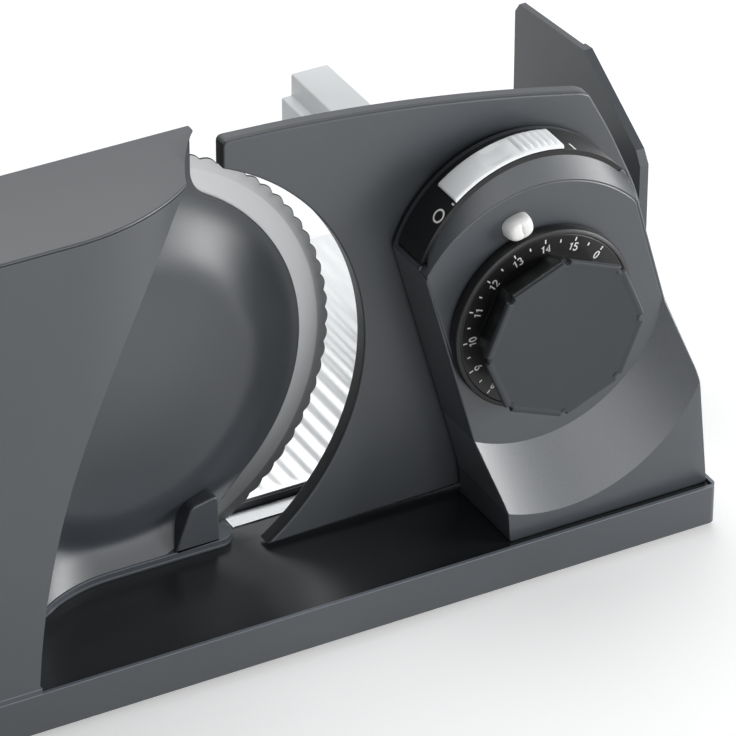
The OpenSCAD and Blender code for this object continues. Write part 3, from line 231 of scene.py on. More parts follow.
def inset_loop(loop, depth):
    """A closed outline moved inwards by a depth: each point goes along the mean of its two edge normals,
    stretched so that both edges move by the same depth."""
    before, after = loop - np.roll(loop, 1, 0), np.roll(loop, -1, 0) - loop
    turn = np.sign(np.sum(loop[:, 0] * np.roll(loop[:, 1], -1) - np.roll(loop[:, 0], -1) * loop[:, 1]))
    normals = []
    for edge in (before, after):
        edge = edge / np.maximum(np.linalg.norm(edge, axis=1, keepdims=True), TINY)
        normals.append(np.stack([-edge[:, 1], edge[:, 0]], 1) * turn)
    mean = normals[0] + normals[1]
    mean /= np.maximum(np.linalg.norm(mean, axis=1, keepdims=True), TINY)
    stretch = 1 / np.maximum(np.sum(mean * normals[0], 1), 0.5)
    return loop + mean * (np.broadcast_to(depth, len(loop)) * stretch)[:, None]


def slab(name, loop, y, round_front, round_back, body, slot, stands_for=(), steps=4):
    """A plate along Y: the outline in X and Z is carried from the front plane to the back plane, and near
    both planes it draws in along a quarter circle, so that the edges are rounded."""
    angles = np.linspace(0, math.pi / 2, steps + 1)
    rings = [(round_front * (1 - math.sin(a)), y[0] + round_front * (1 - math.cos(a))) for a in angles]
    rings += [(round_back * (1 - math.sin(a)), y[1] - round_back * (1 - math.cos(a))) for a in angles[::-1]]
    points = np.concatenate([np.insert(inset_loop(loop, depth), 1, at, axis=1) for depth, at in rings])
    faces = grid_faces(len(rings), len(loop), close_cols=True) + end_caps(len(rings), len(loop))
    piece = mesh_piece(name, points, faces, body, slot, stands_for, sharp=60)
    weighted(piece)
    return piece


def copied(node, body, slot, width, segments=2, angle=28, name=None):
    """A CAD node's mesh, merged and freed of its triangles, with rounded edges of a width in millimetres."""
    source = frame["nodes"][node]
    mesh = source.data.copy()
    piece = bpy.data.objects.new(name or node + "_skin", mesh)
    bpy.context.scene.collection.objects.link(piece)
    work = bmesh.new()
    work.from_mesh(mesh)
    bmesh.ops.remove_doubles(work, verts=work.verts, dist=SAME_CORNER)
    bmesh.ops.dissolve_limit(work, angle_limit=math.radians(1), verts=work.verts, edges=work.edges)
    work.to_mesh(mesh)
    work.free()
    mesh.shade_smooth()
    mesh.set_sharp_from_angle(angle=math.radians(angle))
    edge = piece.modifiers.new("edges", "BEVEL")
    edge.width = width * MM
    edge.segments = segments
    edge.limit_method = "ANGLE"
    edge.angle_limit = math.radians(angle)
    edge.use_clamp_overlap = True
    edge.harden_normals = True
    dressed(piece, body, slot, [node])
    return piece


# Finishes


class Number:
    """A shader socket that takes part in sums as a number does."""

    def __init__(self, shader, socket):
        self.shader, self.socket = shader, socket

    def _math(self, kind, first, second):
        return self.shader.node("ShaderNodeMath", {"operation": kind}, [first, second])

    def __add__(self, other):
        return self._math("ADD", self, other)

    def __radd__(self, other):
        return self._math("ADD", other, self)

    def __sub__(self, other):
        return self._math("SUBTRACT", self, other)

    def __rsub__(self, other):
        return self._math("SUBTRACT", other, self)

    def __mul__(self, other):
        return self._math("MULTIPLY", self, other)

    def __rmul__(self, other):
        return self._math("MULTIPLY", other, self)

    def __pow__(self, other):
        return self._math("POWER", self, other)

    def __lt__(self, other):
        return self._math("LESS_THAN", self, other)

    def __gt__(self, other):
        return self._math("GREATER_THAN", self, other)


class Nodes:
    """A node tree whose sockets take numbers, colours or worked-out values."""

    def __init__(self, tree):
        self.tree = tree
        self.tree.nodes.clear()

    def node(self, kind, settings=None, values=(), out=0):
        """Adds a node, sets it, then gives its sockets values or links, by order or by name."""
        made = self.tree.nodes.new(kind)
        for key, value in (settings or {}).items():
            setattr(made, key, value)
        pairs = values.items() if isinstance(values, dict) else enumerate(values)
        for key, value in pairs:
            self.give(made.inputs[key], value)
        return Number(self, made.outputs[out])

    def give(self, socket, value):
        if isinstance(value, Number):
            self.tree.links.new(value.socket, socket)
        else:
            socket.default_value = value

    def here(self, scale=(1, 1, 1), about=(0, 0, 0)):
        """The point on the piece in metres from a centre given in the frame, stretched by a scale."""
        point = self.node("ShaderNodeTexCoord", out=3)
        moved = self.node("ShaderNodeVectorMath", {"operation": "SUBTRACT"}, [point, tuple(about)])
        return self.node("ShaderNodeVectorMath", {"operation": "MULTIPLY"}, [moved, tuple(scale)])

    def parts(self, vector):
        """The three parts of a vector."""
        split = self.tree.nodes.new("ShaderNodeSeparateXYZ")
        self.tree.links.new(vector.socket, split.inputs[0])
        return [Number(self, s) for s in split.outputs]

    def joined(self, x, y, z):
        return self.node("ShaderNodeCombineXYZ", values=[x, y, z])

    def noise(self, where, scale, detail=2.0, rough=0.5):
        return self.node("ShaderNodeTexNoise", {"noise_dimensions": "3D"},
                         {"Vector": where, "Scale": scale, "Detail": detail, "Roughness": rough})

    def tint(self, share, low, high):
        """A colour between two colours, by a share from 0 to 1."""
        made = self.tree.nodes.new("ShaderNodeMix")
        made.data_type = "RGBA"
        self.give(made.inputs[0], share)
        self.give(made.inputs[6], low if isinstance(low, Number) else (*low, 1))
        self.give(made.inputs[7], high if isinstance(high, Number) else (*high, 1))
        return Number(self, made.outputs[2])

    def bump(self, height, strength, distance):
        """A bump whose full height is a distance in millimetres."""
        values = {"Height": height, "Strength": strength, "Distance": distance * MM}
        return self.node("ShaderNodeBump", values=values)


class Finish(Nodes):
    """One material with a Principled shader."""

    def __init__(self, name):
        self.material = bpy.data.materials.new(name)
        self.material.use_nodes = True
        super().__init__(self.material.node_tree)
        self.output = self.tree.nodes.new("ShaderNodeOutputMaterial")
        self.shader = self.tree.nodes.new("ShaderNodeBsdfPrincipled")
        self.tree.links.new(self.shader.outputs[0], self.output.inputs["Surface"])

    def set(self, **values):
        """Principled inputs by name, with spaces written as underscores."""
        for key, value in values.items():
            self.give(self.shader.inputs[key.replace("_", " ")], value)
        return self.material


def times(color, factor):
    """A colour made lighter or darker by a factor."""
    return tuple(c * factor for c in color)


BLACK_GLOSS, BLACK_GLOSS_ROUGH, LACQUER, LACQUER_ROUGH = (0.016, 0.018, 0.02), 0.27, 0.5, 0.42


def grained_plastic(name, color, rough, grain=0.4, pitch=0.9, gloss=0.75, f=None, dark=None, coat_and_painted_highlight=None,
                    glossy=None, edges=None, sheen=None):
    """Moulded plastic: a fine spark-eroded grain, a slow change of shade, and shinier worn peaks. The pitch
    of the grain is in millimetres. Five masks from 0 to 1 change it in places: dark makes it black, the coat
    mask lays a lighter colour with a sparkle, partly a coating of its own and partly a painted highlight,
    edges paints rims lighter as a painted highlight, glossy makes a black gloss without grain, and sheen
    adds a thin lacquer."""
    f = f or Finish(name)
    where = f.here()
    grain_height = f.noise(where, 1000 / pitch, 3.0, 0.6)
    slow = f.noise(where, 18.0, 2.0)
    fleck = f.noise(where, 1000 / (pitch * 0.6), 1.0)
    shade = f.tint(slow * 0.6 + fleck * 0.4, times(color, 0.78), times(color, 1.26))
    if dark:
        shade = f.tint(dark, shade, times(color, 0.2))
    # painted highlight: a lighter colour with a sparkle, partly a coating of its own
    if coat_and_painted_highlight:
        shade = f.tint(coat_and_painted_highlight, shade, f.tint(fleck, times(color, 0.9), times(color, 1.7)))
    # painted highlight: the edges mask paints rims lighter
    if edges:
        shade = f.tint(edges, shade, times(color, 3.2))
    dull = rough + (slow - 0.5) * 0.1 + (fleck - 0.5) * 0.12
    lacquer = {"Coat_Weight": sheen * LACQUER, "Coat_Roughness": LACQUER_ROUGH} if sheen else {}
    if glossy:
        dull = dull * (1 - glossy) + glossy * BLACK_GLOSS_ROUGH
        grain_height = grain_height * (1 - glossy * 0.97)
        shade = f.tint(glossy, shade, BLACK_GLOSS)
    return f.set(Base_Color=shade, Roughness=dull, Specular_IOR_Level=gloss, **lacquer,
                 Normal=f.bump(grain_height, grain, 0.05))


def smooth_plastic(name, color, rough, wave=0.04, gloss=0.5):
    """Polished moulding: a faint wave in the surface and a little uneven gloss."""
    f = Finish(name)
    where = f.here()
    slow = f.noise(where, 40.0, 3.0)
    dust = f.noise(where, 1400.0, 2.0)
    return f.set(Base_Color=f.tint(slow, times(color, 0.93), times(color, 1.06)),
                 Roughness=rough + (slow - 0.5) * 0.06 + (dust - 0.5) * 0.04, Specular_IOR_Level=gloss,
                 Normal=f.bump(dust, wave, 0.03))


def round_brushed_steel(name, color, rough):
    """Steel ground in circles round the blade's axis: streaks that depend on the distance from the axis and
    only slowly on the angle, a bevel painted a little darker as painted shade, and a thin dark line of
    painted shade that follows the scalloped edge."""
    f = Finish(name)
    x, y, z = f.parts(f.here(about=BLADE))
    radius = (x * x + z * z) ** 0.5
    angle = f.node("ShaderNodeMath", {"operation": "ARCTAN2"}, [z, x])
    streak = f.noise(f.joined(radius * 3000.0, angle * 2.5, 0.0), 1.0, 3.0, 0.7)
    slow = f.noise(f.joined(radius * 120.0, angle * 3.0, 0.0), 1.0, 1.0)
    steel = f.tint(streak * 0.6 + slow * 0.4, times(color, 0.86), times(color, 1.08))
    swing = f.node("ShaderNodeMath", {"operation": "COSINE"}, [angle * float(SCALLOPS)]) * 0.5 + 0.5
    # painted shade: a thin dark line just inside the scalloped edge
    edge = swing ** 0.5 * (SCALLOP_D * MM) + (BLADE_R - SCALLOP_D - EDGE_SHADE_LINE) * MM
    # painted shade: the bevel beyond BEVEL_R is painted darker
    ground = f.tint(radius > BEVEL_R * MM, steel, times(color, 0.86))
    return f.set(Base_Color=f.tint(radius - edge > 0.0, ground, times(color, 0.15)), Metallic=1.0,
                 Roughness=rough + (streak - 0.5) * 0.18, Normal=f.bump(streak, 0.12, 0.01))


def brushed_steel(name, color, rough, along=(1, 30, 30), strength=0.06):
    """Drawn or ground steel: fine streaks along one axis."""
    f = Finish(name)
    streak = f.noise(f.here(scale=along), 90.0, 4.0, 0.7)
    return f.set(Base_Color=f.tint(streak, times(color, 0.88), times(color, 1.08)), Metallic=1.0,
                 Roughness=rough + (streak - 0.5) * 0.12, Normal=f.bump(streak, strength, 0.02))


def cast_metal(name, color, rough):
    """Sintered or plated metal: small pits and a mottled shade."""
    f = Finish(name)
    pits = f.noise(f.here(), 1800.0, 3.0)
    return f.set(Base_Color=f.tint(pits, times(color, 0.85), times(color, 1.1)), Metallic=1.0,
                 Roughness=rough + (pits - 0.5) * 0.2, Normal=f.bump(pits, 0.1, 0.02))


def soft_rubber(name, color):
    """Matt rubber with a fine moulded skin."""
    f = Finish(name)
    skin = f.noise(f.here(), 2200.0, 3.0)
    return f.set(Base_Color=f.tint(skin, times(color, 0.88), times(color, 1.06)),
                 Roughness=0.75 + (skin - 0.5) * 0.1, Normal=f.bump(skin, 0.2, 0.03))


GREY = (0.047, 0.0525, 0.060), 0.41
FINISH = {
    "moulded_grey": grained_plastic("anthracite moulding", *GREY),
    "deck_black": smooth_plastic("black deck", (0.026, 0.028, 0.031), 0.30),
    "inner_black": grained_plastic("black plastic", (0.011, 0.011, 0.012), 0.4, grain=0.1, gloss=0.4),
    "light_plastic": smooth_plastic("light grey plastic", (0.82, 0.84, 0.85), 0.36),
    "white_plastic": smooth_plastic("white plastic", (0.86, 0.86, 0.84), 0.28),
    "gear_nylon": grained_plastic("natural nylon", (0.62, 0.58, 0.47), 0.5, grain=0.08),
    "blade_steel": round_brushed_steel("ground blade steel", (0.6, 0.61, 0.62), 0.42),
    "polished_steel": brushed_steel("polished steel", (0.8, 0.81, 0.82), 0.2),
    "fastener_steel": cast_metal("zinc plated steel", (0.52, 0.52, 0.5), 0.4),
    "bearing_bronze": cast_metal("sintered bronze", (0.5, 0.32, 0.16), 0.45),
    "motor_steel": brushed_steel("motor steel", (0.45, 0.45, 0.46), 0.38, along=(20, 20, 1)),
    "copper_winding": brushed_steel("enamelled copper", (0.55, 0.22, 0.1), 0.35, along=(60, 60, 3),
                                    strength=0.4),
    "foot_rubber": soft_rubber("grey rubber", (0.5, 0.51, 0.5)),
    "suppressor_yellow": smooth_plastic("yellow foil", (0.7, 0.5, 0.06), 0.35),
}

for part in frame["record"]["subparts"]:
    node = frame["nodes"][part["node"]]
    node.data.materials.clear()
    node.data.materials.append(FINISH[part["material_slot"]])

# Motor housing


def edge_of_panel(z):
    """Right edge of the front panel: a circle seen from the front."""
    return EDGE_X - np.sqrt(EDGE_R ** 2 - (z - EDGE_Z) ** 2)


def rise(z):
    """How far up the housing a height lies, from 0 at its foot to 1 at its top."""
    return (z - FOOT_Z) / (HOUSING_TOP - FOOT_Z)


def panel_depth(x, z):
    """Front panel: a plane that leans back towards the top, rounded off to the right of PANEL_X, and no
    deeper than the dome's crown."""
    bow, crown = np.clip(x - PANEL_X, 0, PANEL_R), COVER_FRONT - DOME_H - CROWN_H
    bowed = BASE_FRONT + LEAN * rise(z) + PANEL_R - np.sqrt(PANEL_R ** 2 - bow ** 2)
    return np.where(x > PANEL_X, np.minimum(bowed, crown - PANEL_OVER_CROWN), bowed)


def scoop_depth(x, z):
    """Scoop: from the panel's edge back to the cover along a superellipse, whose power falls from the foot
    to the top, with a step at the foot that flares out as a quarter sine."""
    up = np.clip(rise(z), 0, 1)
    width = between(SCOOP_FOOT_R, SCOOP_TOP_W, rise(z))
    flare = 1 - np.sin(math.pi / 2 * np.clip((z - FOOT_Z) / FLARE_H, 0, 1))
    floor = COVER_FRONT - (FOOT_STEP + COVER_FRONT) * flare
    power = between(SCOOP_FOOT_POWER, SCOOP_TOP_POWER, up)
    share = np.clip((edge_of_panel(z) + width - x) / width, 0, 1)
    return between(BASE_FRONT + SCOOP_BACK * rise(z), floor, (1 - share ** power) ** (1 / power))


def dome_depth(radius):
    """Dome over the blade's middle: a shallow crown, then a roll-off down to the flat rim."""
    return COVER_FRONT - DOME_H * (1 - smooth_step((radius - ROLL_R) / ROLL_W)) \
        - CROWN_H * (1 - smooth_step(radius / ROLL_R))


def skin_depth(x, z):
    """Scoop and dome run together: their heights over the rim are joined as the cube root of the sum of
    their cubes, which follows the higher one and fills the valley between them."""
    scoop, dome = COVER_FRONT - scoop_depth(x, z), COVER_FRONT - dome_depth(np.hypot(x, z))
    return COVER_FRONT - np.cbrt(np.maximum(scoop, 0) ** 3 + np.maximum(dome, 0) ** 3)


def cover_side(z, depth):
    """Right side of the housing at a height, drawn in by a depth: the round cover, the hollow corner and the
    upright end of the top."""
    corner_x = LIP_X + LIP_R
    corner_z = math.sqrt((COVER_R + LIP_R) ** 2 - corner_x ** 2)
    r = COVER_R - depth
    touch = r / (COVER_R + LIP_R) * corner_z
    disc = np.sqrt(np.maximum(r ** 2 - z ** 2, 0))
    below = np.minimum(z, corner_z) - corner_z
    hollow = corner_x - np.sqrt(np.maximum((LIP_R + depth) ** 2 - below ** 2, 0))
    return np.where(z < touch, disc, hollow)


def crease_of(z):
    """Where the scoop comes out of the panel: the panel and the scoop have the same depth, by halving."""
    low, high = edge_of_panel(z) - CREASE_SLIP, edge_of_panel(z) + CREASE_SPAN
    for _ in range(HALVINGS):
        middle = (low + high) / 2
        outside = scoop_depth(middle, z) < panel_depth(middle, z)
        low, high = np.where(outside, middle, low), np.where(outside, high, middle)
    return (low + high) / 2


def shell_heights():
    """Heights of the shell's rows, close together in the flare, at the groove under the top and round the
    top edge, and the groove's depth at each height."""
    groove_z = HOUSING_TOP - SHELL_EDGE_R - GROOVE_UNDER - GROOVE_RISE
    flare_top = FOOT_Z + FLARE_ROWS_H
    z = np.concatenate([between(FOOT_Z, flare_top, np.linspace(0, 1, FLARE_ROWS)[:-1]),
                        between(flare_top, groove_z[0], np.linspace(0, 1, UPPER_ROWS)[:-1]), groove_z,
                        HOUSING_TOP - SHELL_EDGE_R * (1 - np.sin(SHELL_TURN))])[:, None]
    return z, np.where(np.isin(z, groove_z[1:3]), GROOVE_DEEP, 0)


def shell_front():
    """The shell's front as a grid over X and Z. At each height X runs from the left edge over the panel to
    the crease, on over scoop and dome, and round the right side. Y is the panel's depth or the skin's, the
    one further back, plus the round-off of the top and left edges, r - r sqrt(1 - u^2 - v^2), and the
    groove."""
    z, groove = shell_heights()
    tall = np.clip(1 - (HOUSING_TOP - z) / SHELL_EDGE_R, 0, 1)
    left = HOUSING_X0 + SHELL_EDGE_R * (1 - np.sqrt(1 - tall ** 2) * np.sin(SHELL_TURN[::-1]))
    crease, inner = crease_of(z), HOUSING_X0 + SHELL_EDGE_R
    panel = inner + (crease - inner) * np.linspace(0, 1, PANEL_COLS)[None, 1:-1] ** PANEL_CROWD
    cover_end = cover_side(z, SHELL_SIDE_R + 0 * z)
    cover = crease + (cover_end - crease) * np.linspace(0, 1, COVER_COLS)[None, :-1]
    rims = np.concatenate([cover_side(z, d) for d in SHELL_SIDE_R * (1 - np.sin(SHELL_TURN))], 1)
    x = np.concatenate([left, panel, cover, rims], 1)
    skin = np.where(x < crease + SLACK, -np.inf, skin_depth(x, z))
    wide = np.clip(1 - (x - HOUSING_X0) / SHELL_EDGE_R, 0, 1)
    round_off = SHELL_EDGE_R * (1 - np.sqrt(np.clip(1 - wide ** 2 - tall ** 2, 0, 1)))
    side = np.zeros_like(x)
    side[:, -len(SHELL_TURN):] = SHELL_SIDE_R * (1 - np.cos(SHELL_TURN))
    y = np.maximum(panel_depth(x, z), skin) + round_off + side + groove
    return np.stack([x, np.minimum(y, COVER_BACK - SHELL_THIN), z + 0 * x], -1)


def housing_shell():
    """The motor housing: its front as one grid, whose rim is carried back to a flange and a shallow recess
    for the back plate."""
    front = shell_front()
    rows, cols = front.shape[:2]
    points = front.reshape(-1, 3)
    index = np.arange(rows * cols).reshape(rows, cols)
    rim = np.concatenate([index[0, :-1], index[:-1, -1], index[-1, :0:-1], index[:0:-1, 0]])
    loop = points[rim][:, [0, 2]]
    count, start = len(rim), len(points)
    rings = [np.insert(shape, 1, y, axis=1)
             for shape, y in ((loop, COVER_BACK), (shrunk(loop, RECESS_W), COVER_BACK),
                              (shrunk(loop, RECESS_W), COVER_BACK - RECESS_DEEP))]
    faces = grid_faces(rows, cols)
    faces += [[rim[k], rim[(k + 1) % count], start + (k + 1) % count, start + k] for k in range(count)]
    faces += grid_faces(len(rings), count, close_cols=True, start=start)
    faces.append(list(range(start + 2 * count, start + 3 * count)))
    mesh_piece("housing_shell", np.concatenate([points, *rings]), faces, "root", "moulded_grey",
               ["motor_housing"], sharp=24)


def shrunk(loop, depth):
    """An outline drawn towards its middle by a depth in X and in Z."""
    middle = (loop.max(0) + loop.min(0)) / 2
    half = (loop.max(0) - loop.min(0)) / 2
    return middle + (loop - middle) * (half - depth) / half


def rounded(points, radius, steps=5):
    """An outline with its corners rounded: each corner is cut back by its radius along both edges and joined
    by a quadratic curve."""
    points, out = np.asarray(points, float), []
    radius = np.broadcast_to(radius, len(points))
    for k, corner in enumerate(points):
        before, after = points[k - 1], points[(k + 1) % len(points)]
        a, b = before - corner, after - corner
        cut = min(radius[k], 0.45 * np.linalg.norm(a), 0.45 * np.linalg.norm(b))
        p, q = corner + a / np.linalg.norm(a) * cut, corner + b / np.linalg.norm(b) * cut
        t = np.linspace(0, 1, steps)[:, None]
        out.append((1 - t) ** 2 * p + 2 * t * (1 - t) * corner + t ** 2 * q)
    return np.concatenate(out)


def cover_foot():
    """The foot at the cover's lower right: a plate with slanted sides and rounded corners."""
    loop = rounded([(x, FOOT_Z + up) for x, up in COVER_FOOT], COVER_FOOT_ROUND)
    slab("cover_foot", loop, (COVER_FOOT_Y, COVER_BACK), round_front=0.9, round_back=0.2, body="root",
         slot="moulded_grey")


housing_shell()
cover_foot()

# Stop plate


def plate_loop():
    """Outline of the stop plate: a slightly bowed top, a slanted right end and the arc round the blade."""
    top_z = PLATE_Z1 - PLATE_TOP_DROP - PLATE_TOP_R
    arc = np.linspace(math.acos(PLATE_X0 / PLATE_ARC_R), math.asin(PLATE_Z0 / PLATE_ARC_R), 90)
    around = np.stack([PLATE_ARC_R * np.cos(arc), PLATE_ARC_R * np.sin(arc)], 1)
    x = np.linspace(PLATE_TOP_X1, PLATE_X0, 60)
    top = np.stack([x, top_z + np.sqrt(PLATE_TOP_R ** 2 - (x - PLATE_TOP_X) ** 2)], 1)
    right = rounded([*PLATE_RIGHT, tuple(top[0])], [2, 6, 6, 6, 2], 4)[:-2]
    corner = rounded([tuple(top[-8]), (PLATE_X0, top[-1][1]), tuple(around[0])], [0, 2.4, 0], 6)[6:-6]
    return np.concatenate([around, right, top[1:-8], corner])


def edged_plastic():
    """The stop plate's plastic, black round its edges, but for a grey line along the top."""
    f = Finish("plate moulding")
    x, y, z = f.parts(f.here(about=BLADE))
    side = (y > (PLATE_FRONT + BLACK_FRONT) * MM) * (y < (PLATE_BACK - BLACK_BACK) * MM)
    upper = (x > GREY_LINE_X * MM) * (z > GREY_LINE_Z * MM) * (y > GREY_LINE_Y * MM)
    return grained_plastic("plate moulding", *GREY, f=f, dark=side - upper)


plate = slab("stop_plate_skin", plate_loop(), (PLATE_FRONT, PLATE_BACK), round_front=0.8, round_back=0.5,
             body="stop", slot="moulded_grey", stands_for=["stop_plate"])
plate.data.materials[0] = edged_plastic()

# Blade


def blade_disc():
    """The blade as a closed tube of radius and angle: a dish in the middle, a ring, a bevel ground on the
    front, and an edge whose radius swings with a rounded wave, once for each scallop."""
    turns = np.linspace(0, 2 * math.pi, SCALLOPS * 12, endpoint=False)
    wave = np.sqrt(0.5 + 0.5 * np.cos(turns * SCALLOPS))
    edge = BLADE_R - SCALLOP_D * (1 - wave)
    bevel, tip = np.full_like(turns, BEVEL_R), np.full_like(turns, BLADE_R - SCALLOP_D)
    front, dish_front = BLADE_BACK - BLADE_T, BLADE_BACK - DISH_D - BLADE_T
    dish_back = BLADE_BACK - DISH_D
    profile = [(AXLE_R, dish_front), (DISH_R - 1, dish_front), (DISH_R + 1, dish_front + 0.1),
               (DISH_R + DISH_W - 1, front - 0.1), (DISH_R + DISH_W + 1, front), (bevel - 0.3, front),
               (bevel + 0.1, front + 0.02), (tip - 0.9, BLADE_BACK - 0.84), (edge - 0.3, BLADE_BACK - 0.72),
               (edge - 0.05, BLADE_BACK - 0.5), (edge, BLADE_BACK - 0.3), (edge - 0.12, BLADE_BACK),
               (edge - 3, BLADE_BACK),
               (DISH_R + DISH_W + 1.6, BLADE_BACK), (DISH_R + DISH_W - 0.4, BLADE_BACK - 0.1),
               (DISH_R + 1.6, dish_back + 0.1), (DISH_R - 0.4, dish_back), (AXLE_R, dish_back)]
    rows = [np.stack([np.cos(turns) * r, np.full_like(turns, y), np.sin(turns) * r], 1) for r, y in profile]
    faces = grid_faces(len(rows), len(turns), close_rows=True, close_cols=True)
    mesh_piece("blade_steel_disc", np.concatenate(rows), faces, "blade_disc", "blade_steel", ["blade"],
               sharp=20)


blade_disc()

# Carriage table


def ribbed_sheet():
    """The table's sheet: a height over X that rises in a rounded rib once a pitch, carried along Y and faded
    out at both ends, closed by a flat underside."""
    x = np.linspace(*TABLE_X, RIB_POINTS)
    y = np.concatenate([TABLE_Y[:1], TABLE_Y[0] + RIB_FADE, TABLE_Y[1] - RIB_FADE[::-1], TABLE_Y[1:]])
    rib = 0.5 + 0.5 * np.cos(2 * math.pi * (x - TABLE_X[0] - RIB_START) / RIB_PITCH)
    ends = smooth_step((x - TABLE_X[0] - 1) / 2) * smooth_step((TABLE_X[1] - 1 - x) / 2)
    along = smooth_step((y - TABLE_Y[0] - RIB_FADE[0]) / 3) * smooth_step((TABLE_Y[1] - RIB_FADE[0] - y) / 3)
    top = TABLE_TOP + RIB_H * (rib * ends)[None, :] * along[:, None]
    flat_x, flat_y = np.broadcast_to(x[None, :], top.shape), np.broadcast_to(y[:, None], top.shape)
    upper = np.stack([flat_x, flat_y, top], -1)
    lower = np.stack([flat_x, flat_y, np.full_like(top, TABLE_TOP - SHEET_T)], -1)
    grid = np.concatenate([lower[:, :1], upper, lower[:, -1:]], 1)
    rows, cols = grid.shape[:2]
    faces = grid_faces(rows, cols, close_cols=True) + end_caps(rows, cols)
    piece = mesh_piece("ribbed_sheet", grid.reshape(-1, 3), faces, "carriage", "polished_steel",
                       ["table_sheet"], sharp=40)
    piece.data.materials[0] = brushed_steel("satin sheet", (0.93, 0.94, 0.94), 0.3, along=(30, 1, 30),
                                            strength=0.02)


ribbed_sheet()

# Knob tower


def around(middle, radius, degrees):
    """Points in X and Z at a radius and at angles about a middle."""
    turn = np.radians(degrees)
    return middle + np.stack([np.cos(turn), np.sin(turn)], -1) * np.expand_dims(radius, -1)


def finely(loop, step):
    """A closed outline with more points, so that no edge is longer than the step."""
    ends = np.roll(loop, -1, 0)
    counts = np.ceil(np.linalg.norm(ends - loop, axis=1) / step - 1e-6).astype(int)
    return np.concatenate([between(a, b, np.arange(n)[:, None] / n) for a, b, n in zip(loop, ends, counts)])


def tower_loop():
    """Outline of the tower from the front: the switch arc, the right knee, the foot and the left knee."""
    arc = around(ARC, ARC_R, np.linspace(ARC_FROM, ARC_TO, 120))
    foot = rounded([tuple(arc[-1]), KNEE_R, TOE_R, TOE_L, KNEE_L, tuple(arc[0])], [0, 3, 1.5, 1, 4, 0])
    return finely(np.concatenate([arc, foot]), 2.0)


def ring_reach(way, drift, radius):
    """How far from the dial's axis a ray meets a circle whose middle has drifted."""
    ahead = way @ drift
    return ahead + np.sqrt(ahead ** 2 - drift @ drift + radius ** 2)


def tower_rise(points):
    """Front of the tower over X and Z. Inside the face's circle it is flat. Above it, a cone whose circles
    drift up and shrink makes the bevel. Below it, a cone whose circles drift down and grow makes the scoop:
    the share of the way t solves |p - c(t)| = r(t), a quadratic."""
    from_dial = points - DIAL
    square = np.sum(from_dial ** 2, -1) - FACE_R ** 2
    shares = []
    for drift, growth in ((np.array([0, BEVEL_DRIFT]), BEVEL_GROWTH),
                          (np.array([TOE_DRIFT_X, TOE_DRIFT_Z]), TOE_GROWTH)):
        a, b = drift @ drift - growth ** 2, -2 * (from_dial @ drift + FACE_R * growth)
        under = b * b - 4 * a * square
        root = (-b - np.sqrt(np.maximum(under, 0))) / (2 * a)
        shares.append(np.where((under >= 0) & (root > 0), root, 1e9))
    back, forward = np.minimum(shares[0], BEVEL_Y - FACE_Y), np.minimum(shares[1], FACE_Y - TOE_Y)
    sloped = np.where(from_dial[..., 1] < -SCOOP_DOWN, -forward, back)
    return FACE_Y + np.where(square <= SLACK, 0, sloped)


def tower_shell():
    """The knob tower: rays from the dial's axis to each point of the outline, with rows that close up on the
    edges of the face, the bevel and the scoop, then a rim turned in a quarter circle, the groove of the
    switch band and the wall with a recess for the back plate. Its depth is tower_rise."""
    loop = tower_loop()
    way = loop - DIAL
    reach = np.linalg.norm(way, axis=1)
    way = way / reach[:, None]
    toe = FACE_Y - TOE_Y
    foot_end = ring_reach(way, np.array([TOE_DRIFT_X, TOE_DRIFT_Z]) * toe, FACE_R + TOE_GROWTH * toe)
    bevel = BEVEL_Y - FACE_Y
    bevel_end = ring_reach(way, np.array([0, BEVEL_DRIFT]) * bevel, FACE_R + BEVEL_GROWTH * bevel)
    rim = TOWER_RIM
    low = way[:, 1] * reach < -SCOOP_DOWN
    first = np.minimum(FACE_R, reach - rim)
    second = np.maximum(np.minimum(np.where(low, foot_end, bevel_end), reach - rim), first)
    angle = np.degrees(np.arctan2(loop[:, 1] - ARC_Z, loop[:, 0] - DIAL_X))
    banded = (angle < BAND_FROM) & (angle > BAND_TO) & (np.linalg.norm(loop - ARC, axis=1) > ARC_R - 0.2)
    last = np.where(banded, second, reach - rim)
    spans = [first * t for t in FACE_SHARES] + [first - d for d in FACE_INSETS]
    spans += [between(first, second, t) for t in np.linspace(0, 1, 15)[1:]]
    spans += [between(second, last, t) for t in (0.5, 1.0)]
    points = np.stack([DIAL + way * span[:, None] for span in spans])
    depth = tower_rise(points)
    depth[4:8] += FACE_RISE * np.array([0, 1, 1, 0])[:, None] * (way[:, 1] > -0.3)
    rows = [np.stack([points[..., 0], depth, points[..., 1]], -1)]
    inner, edge = points[-1], np.where(banded[:, None], points[-1], loop)
    rounding = np.where(banded, 0, rim)
    for t in np.linspace(0, math.pi / 2, 6)[1:]:
        across = between(inner, edge, math.sin(t))
        rows.append(np.insert(across, 1, depth[-1] + rounding * (1 - math.cos(t)), axis=1)[None])
    groove = np.where(banded[:, None], around(ARC, ARC_R - BAND_T - BAND_SLIP, angle), loop)
    inside = inset_loop(loop, TOWER_WALL)
    for ring, y in ((groove, BAND_FRONT + BAND_SIDE_SLIP), (groove, BAND_BACK - BAND_SIDE_SLIP),
                    (loop, BAND_BACK), (loop, TOWER_BACK), (inside, TOWER_BACK),
                    (inside, TOWER_BACK - TOWER_RECESS)):
        rows.append(np.insert(ring, 1, y, axis=1)[None])
    grid = np.concatenate(rows)
    faces = grid_faces(len(grid), len(loop), close_cols=True) + end_caps(len(grid), len(loop))[1:]
    piece = mesh_piece("tower_shell", grid.reshape(-1, 3), faces, "root", "moulded_grey", ["knob_tower"],
                       sharp=22)
    piece.data.materials[0] = scooped_plastic()


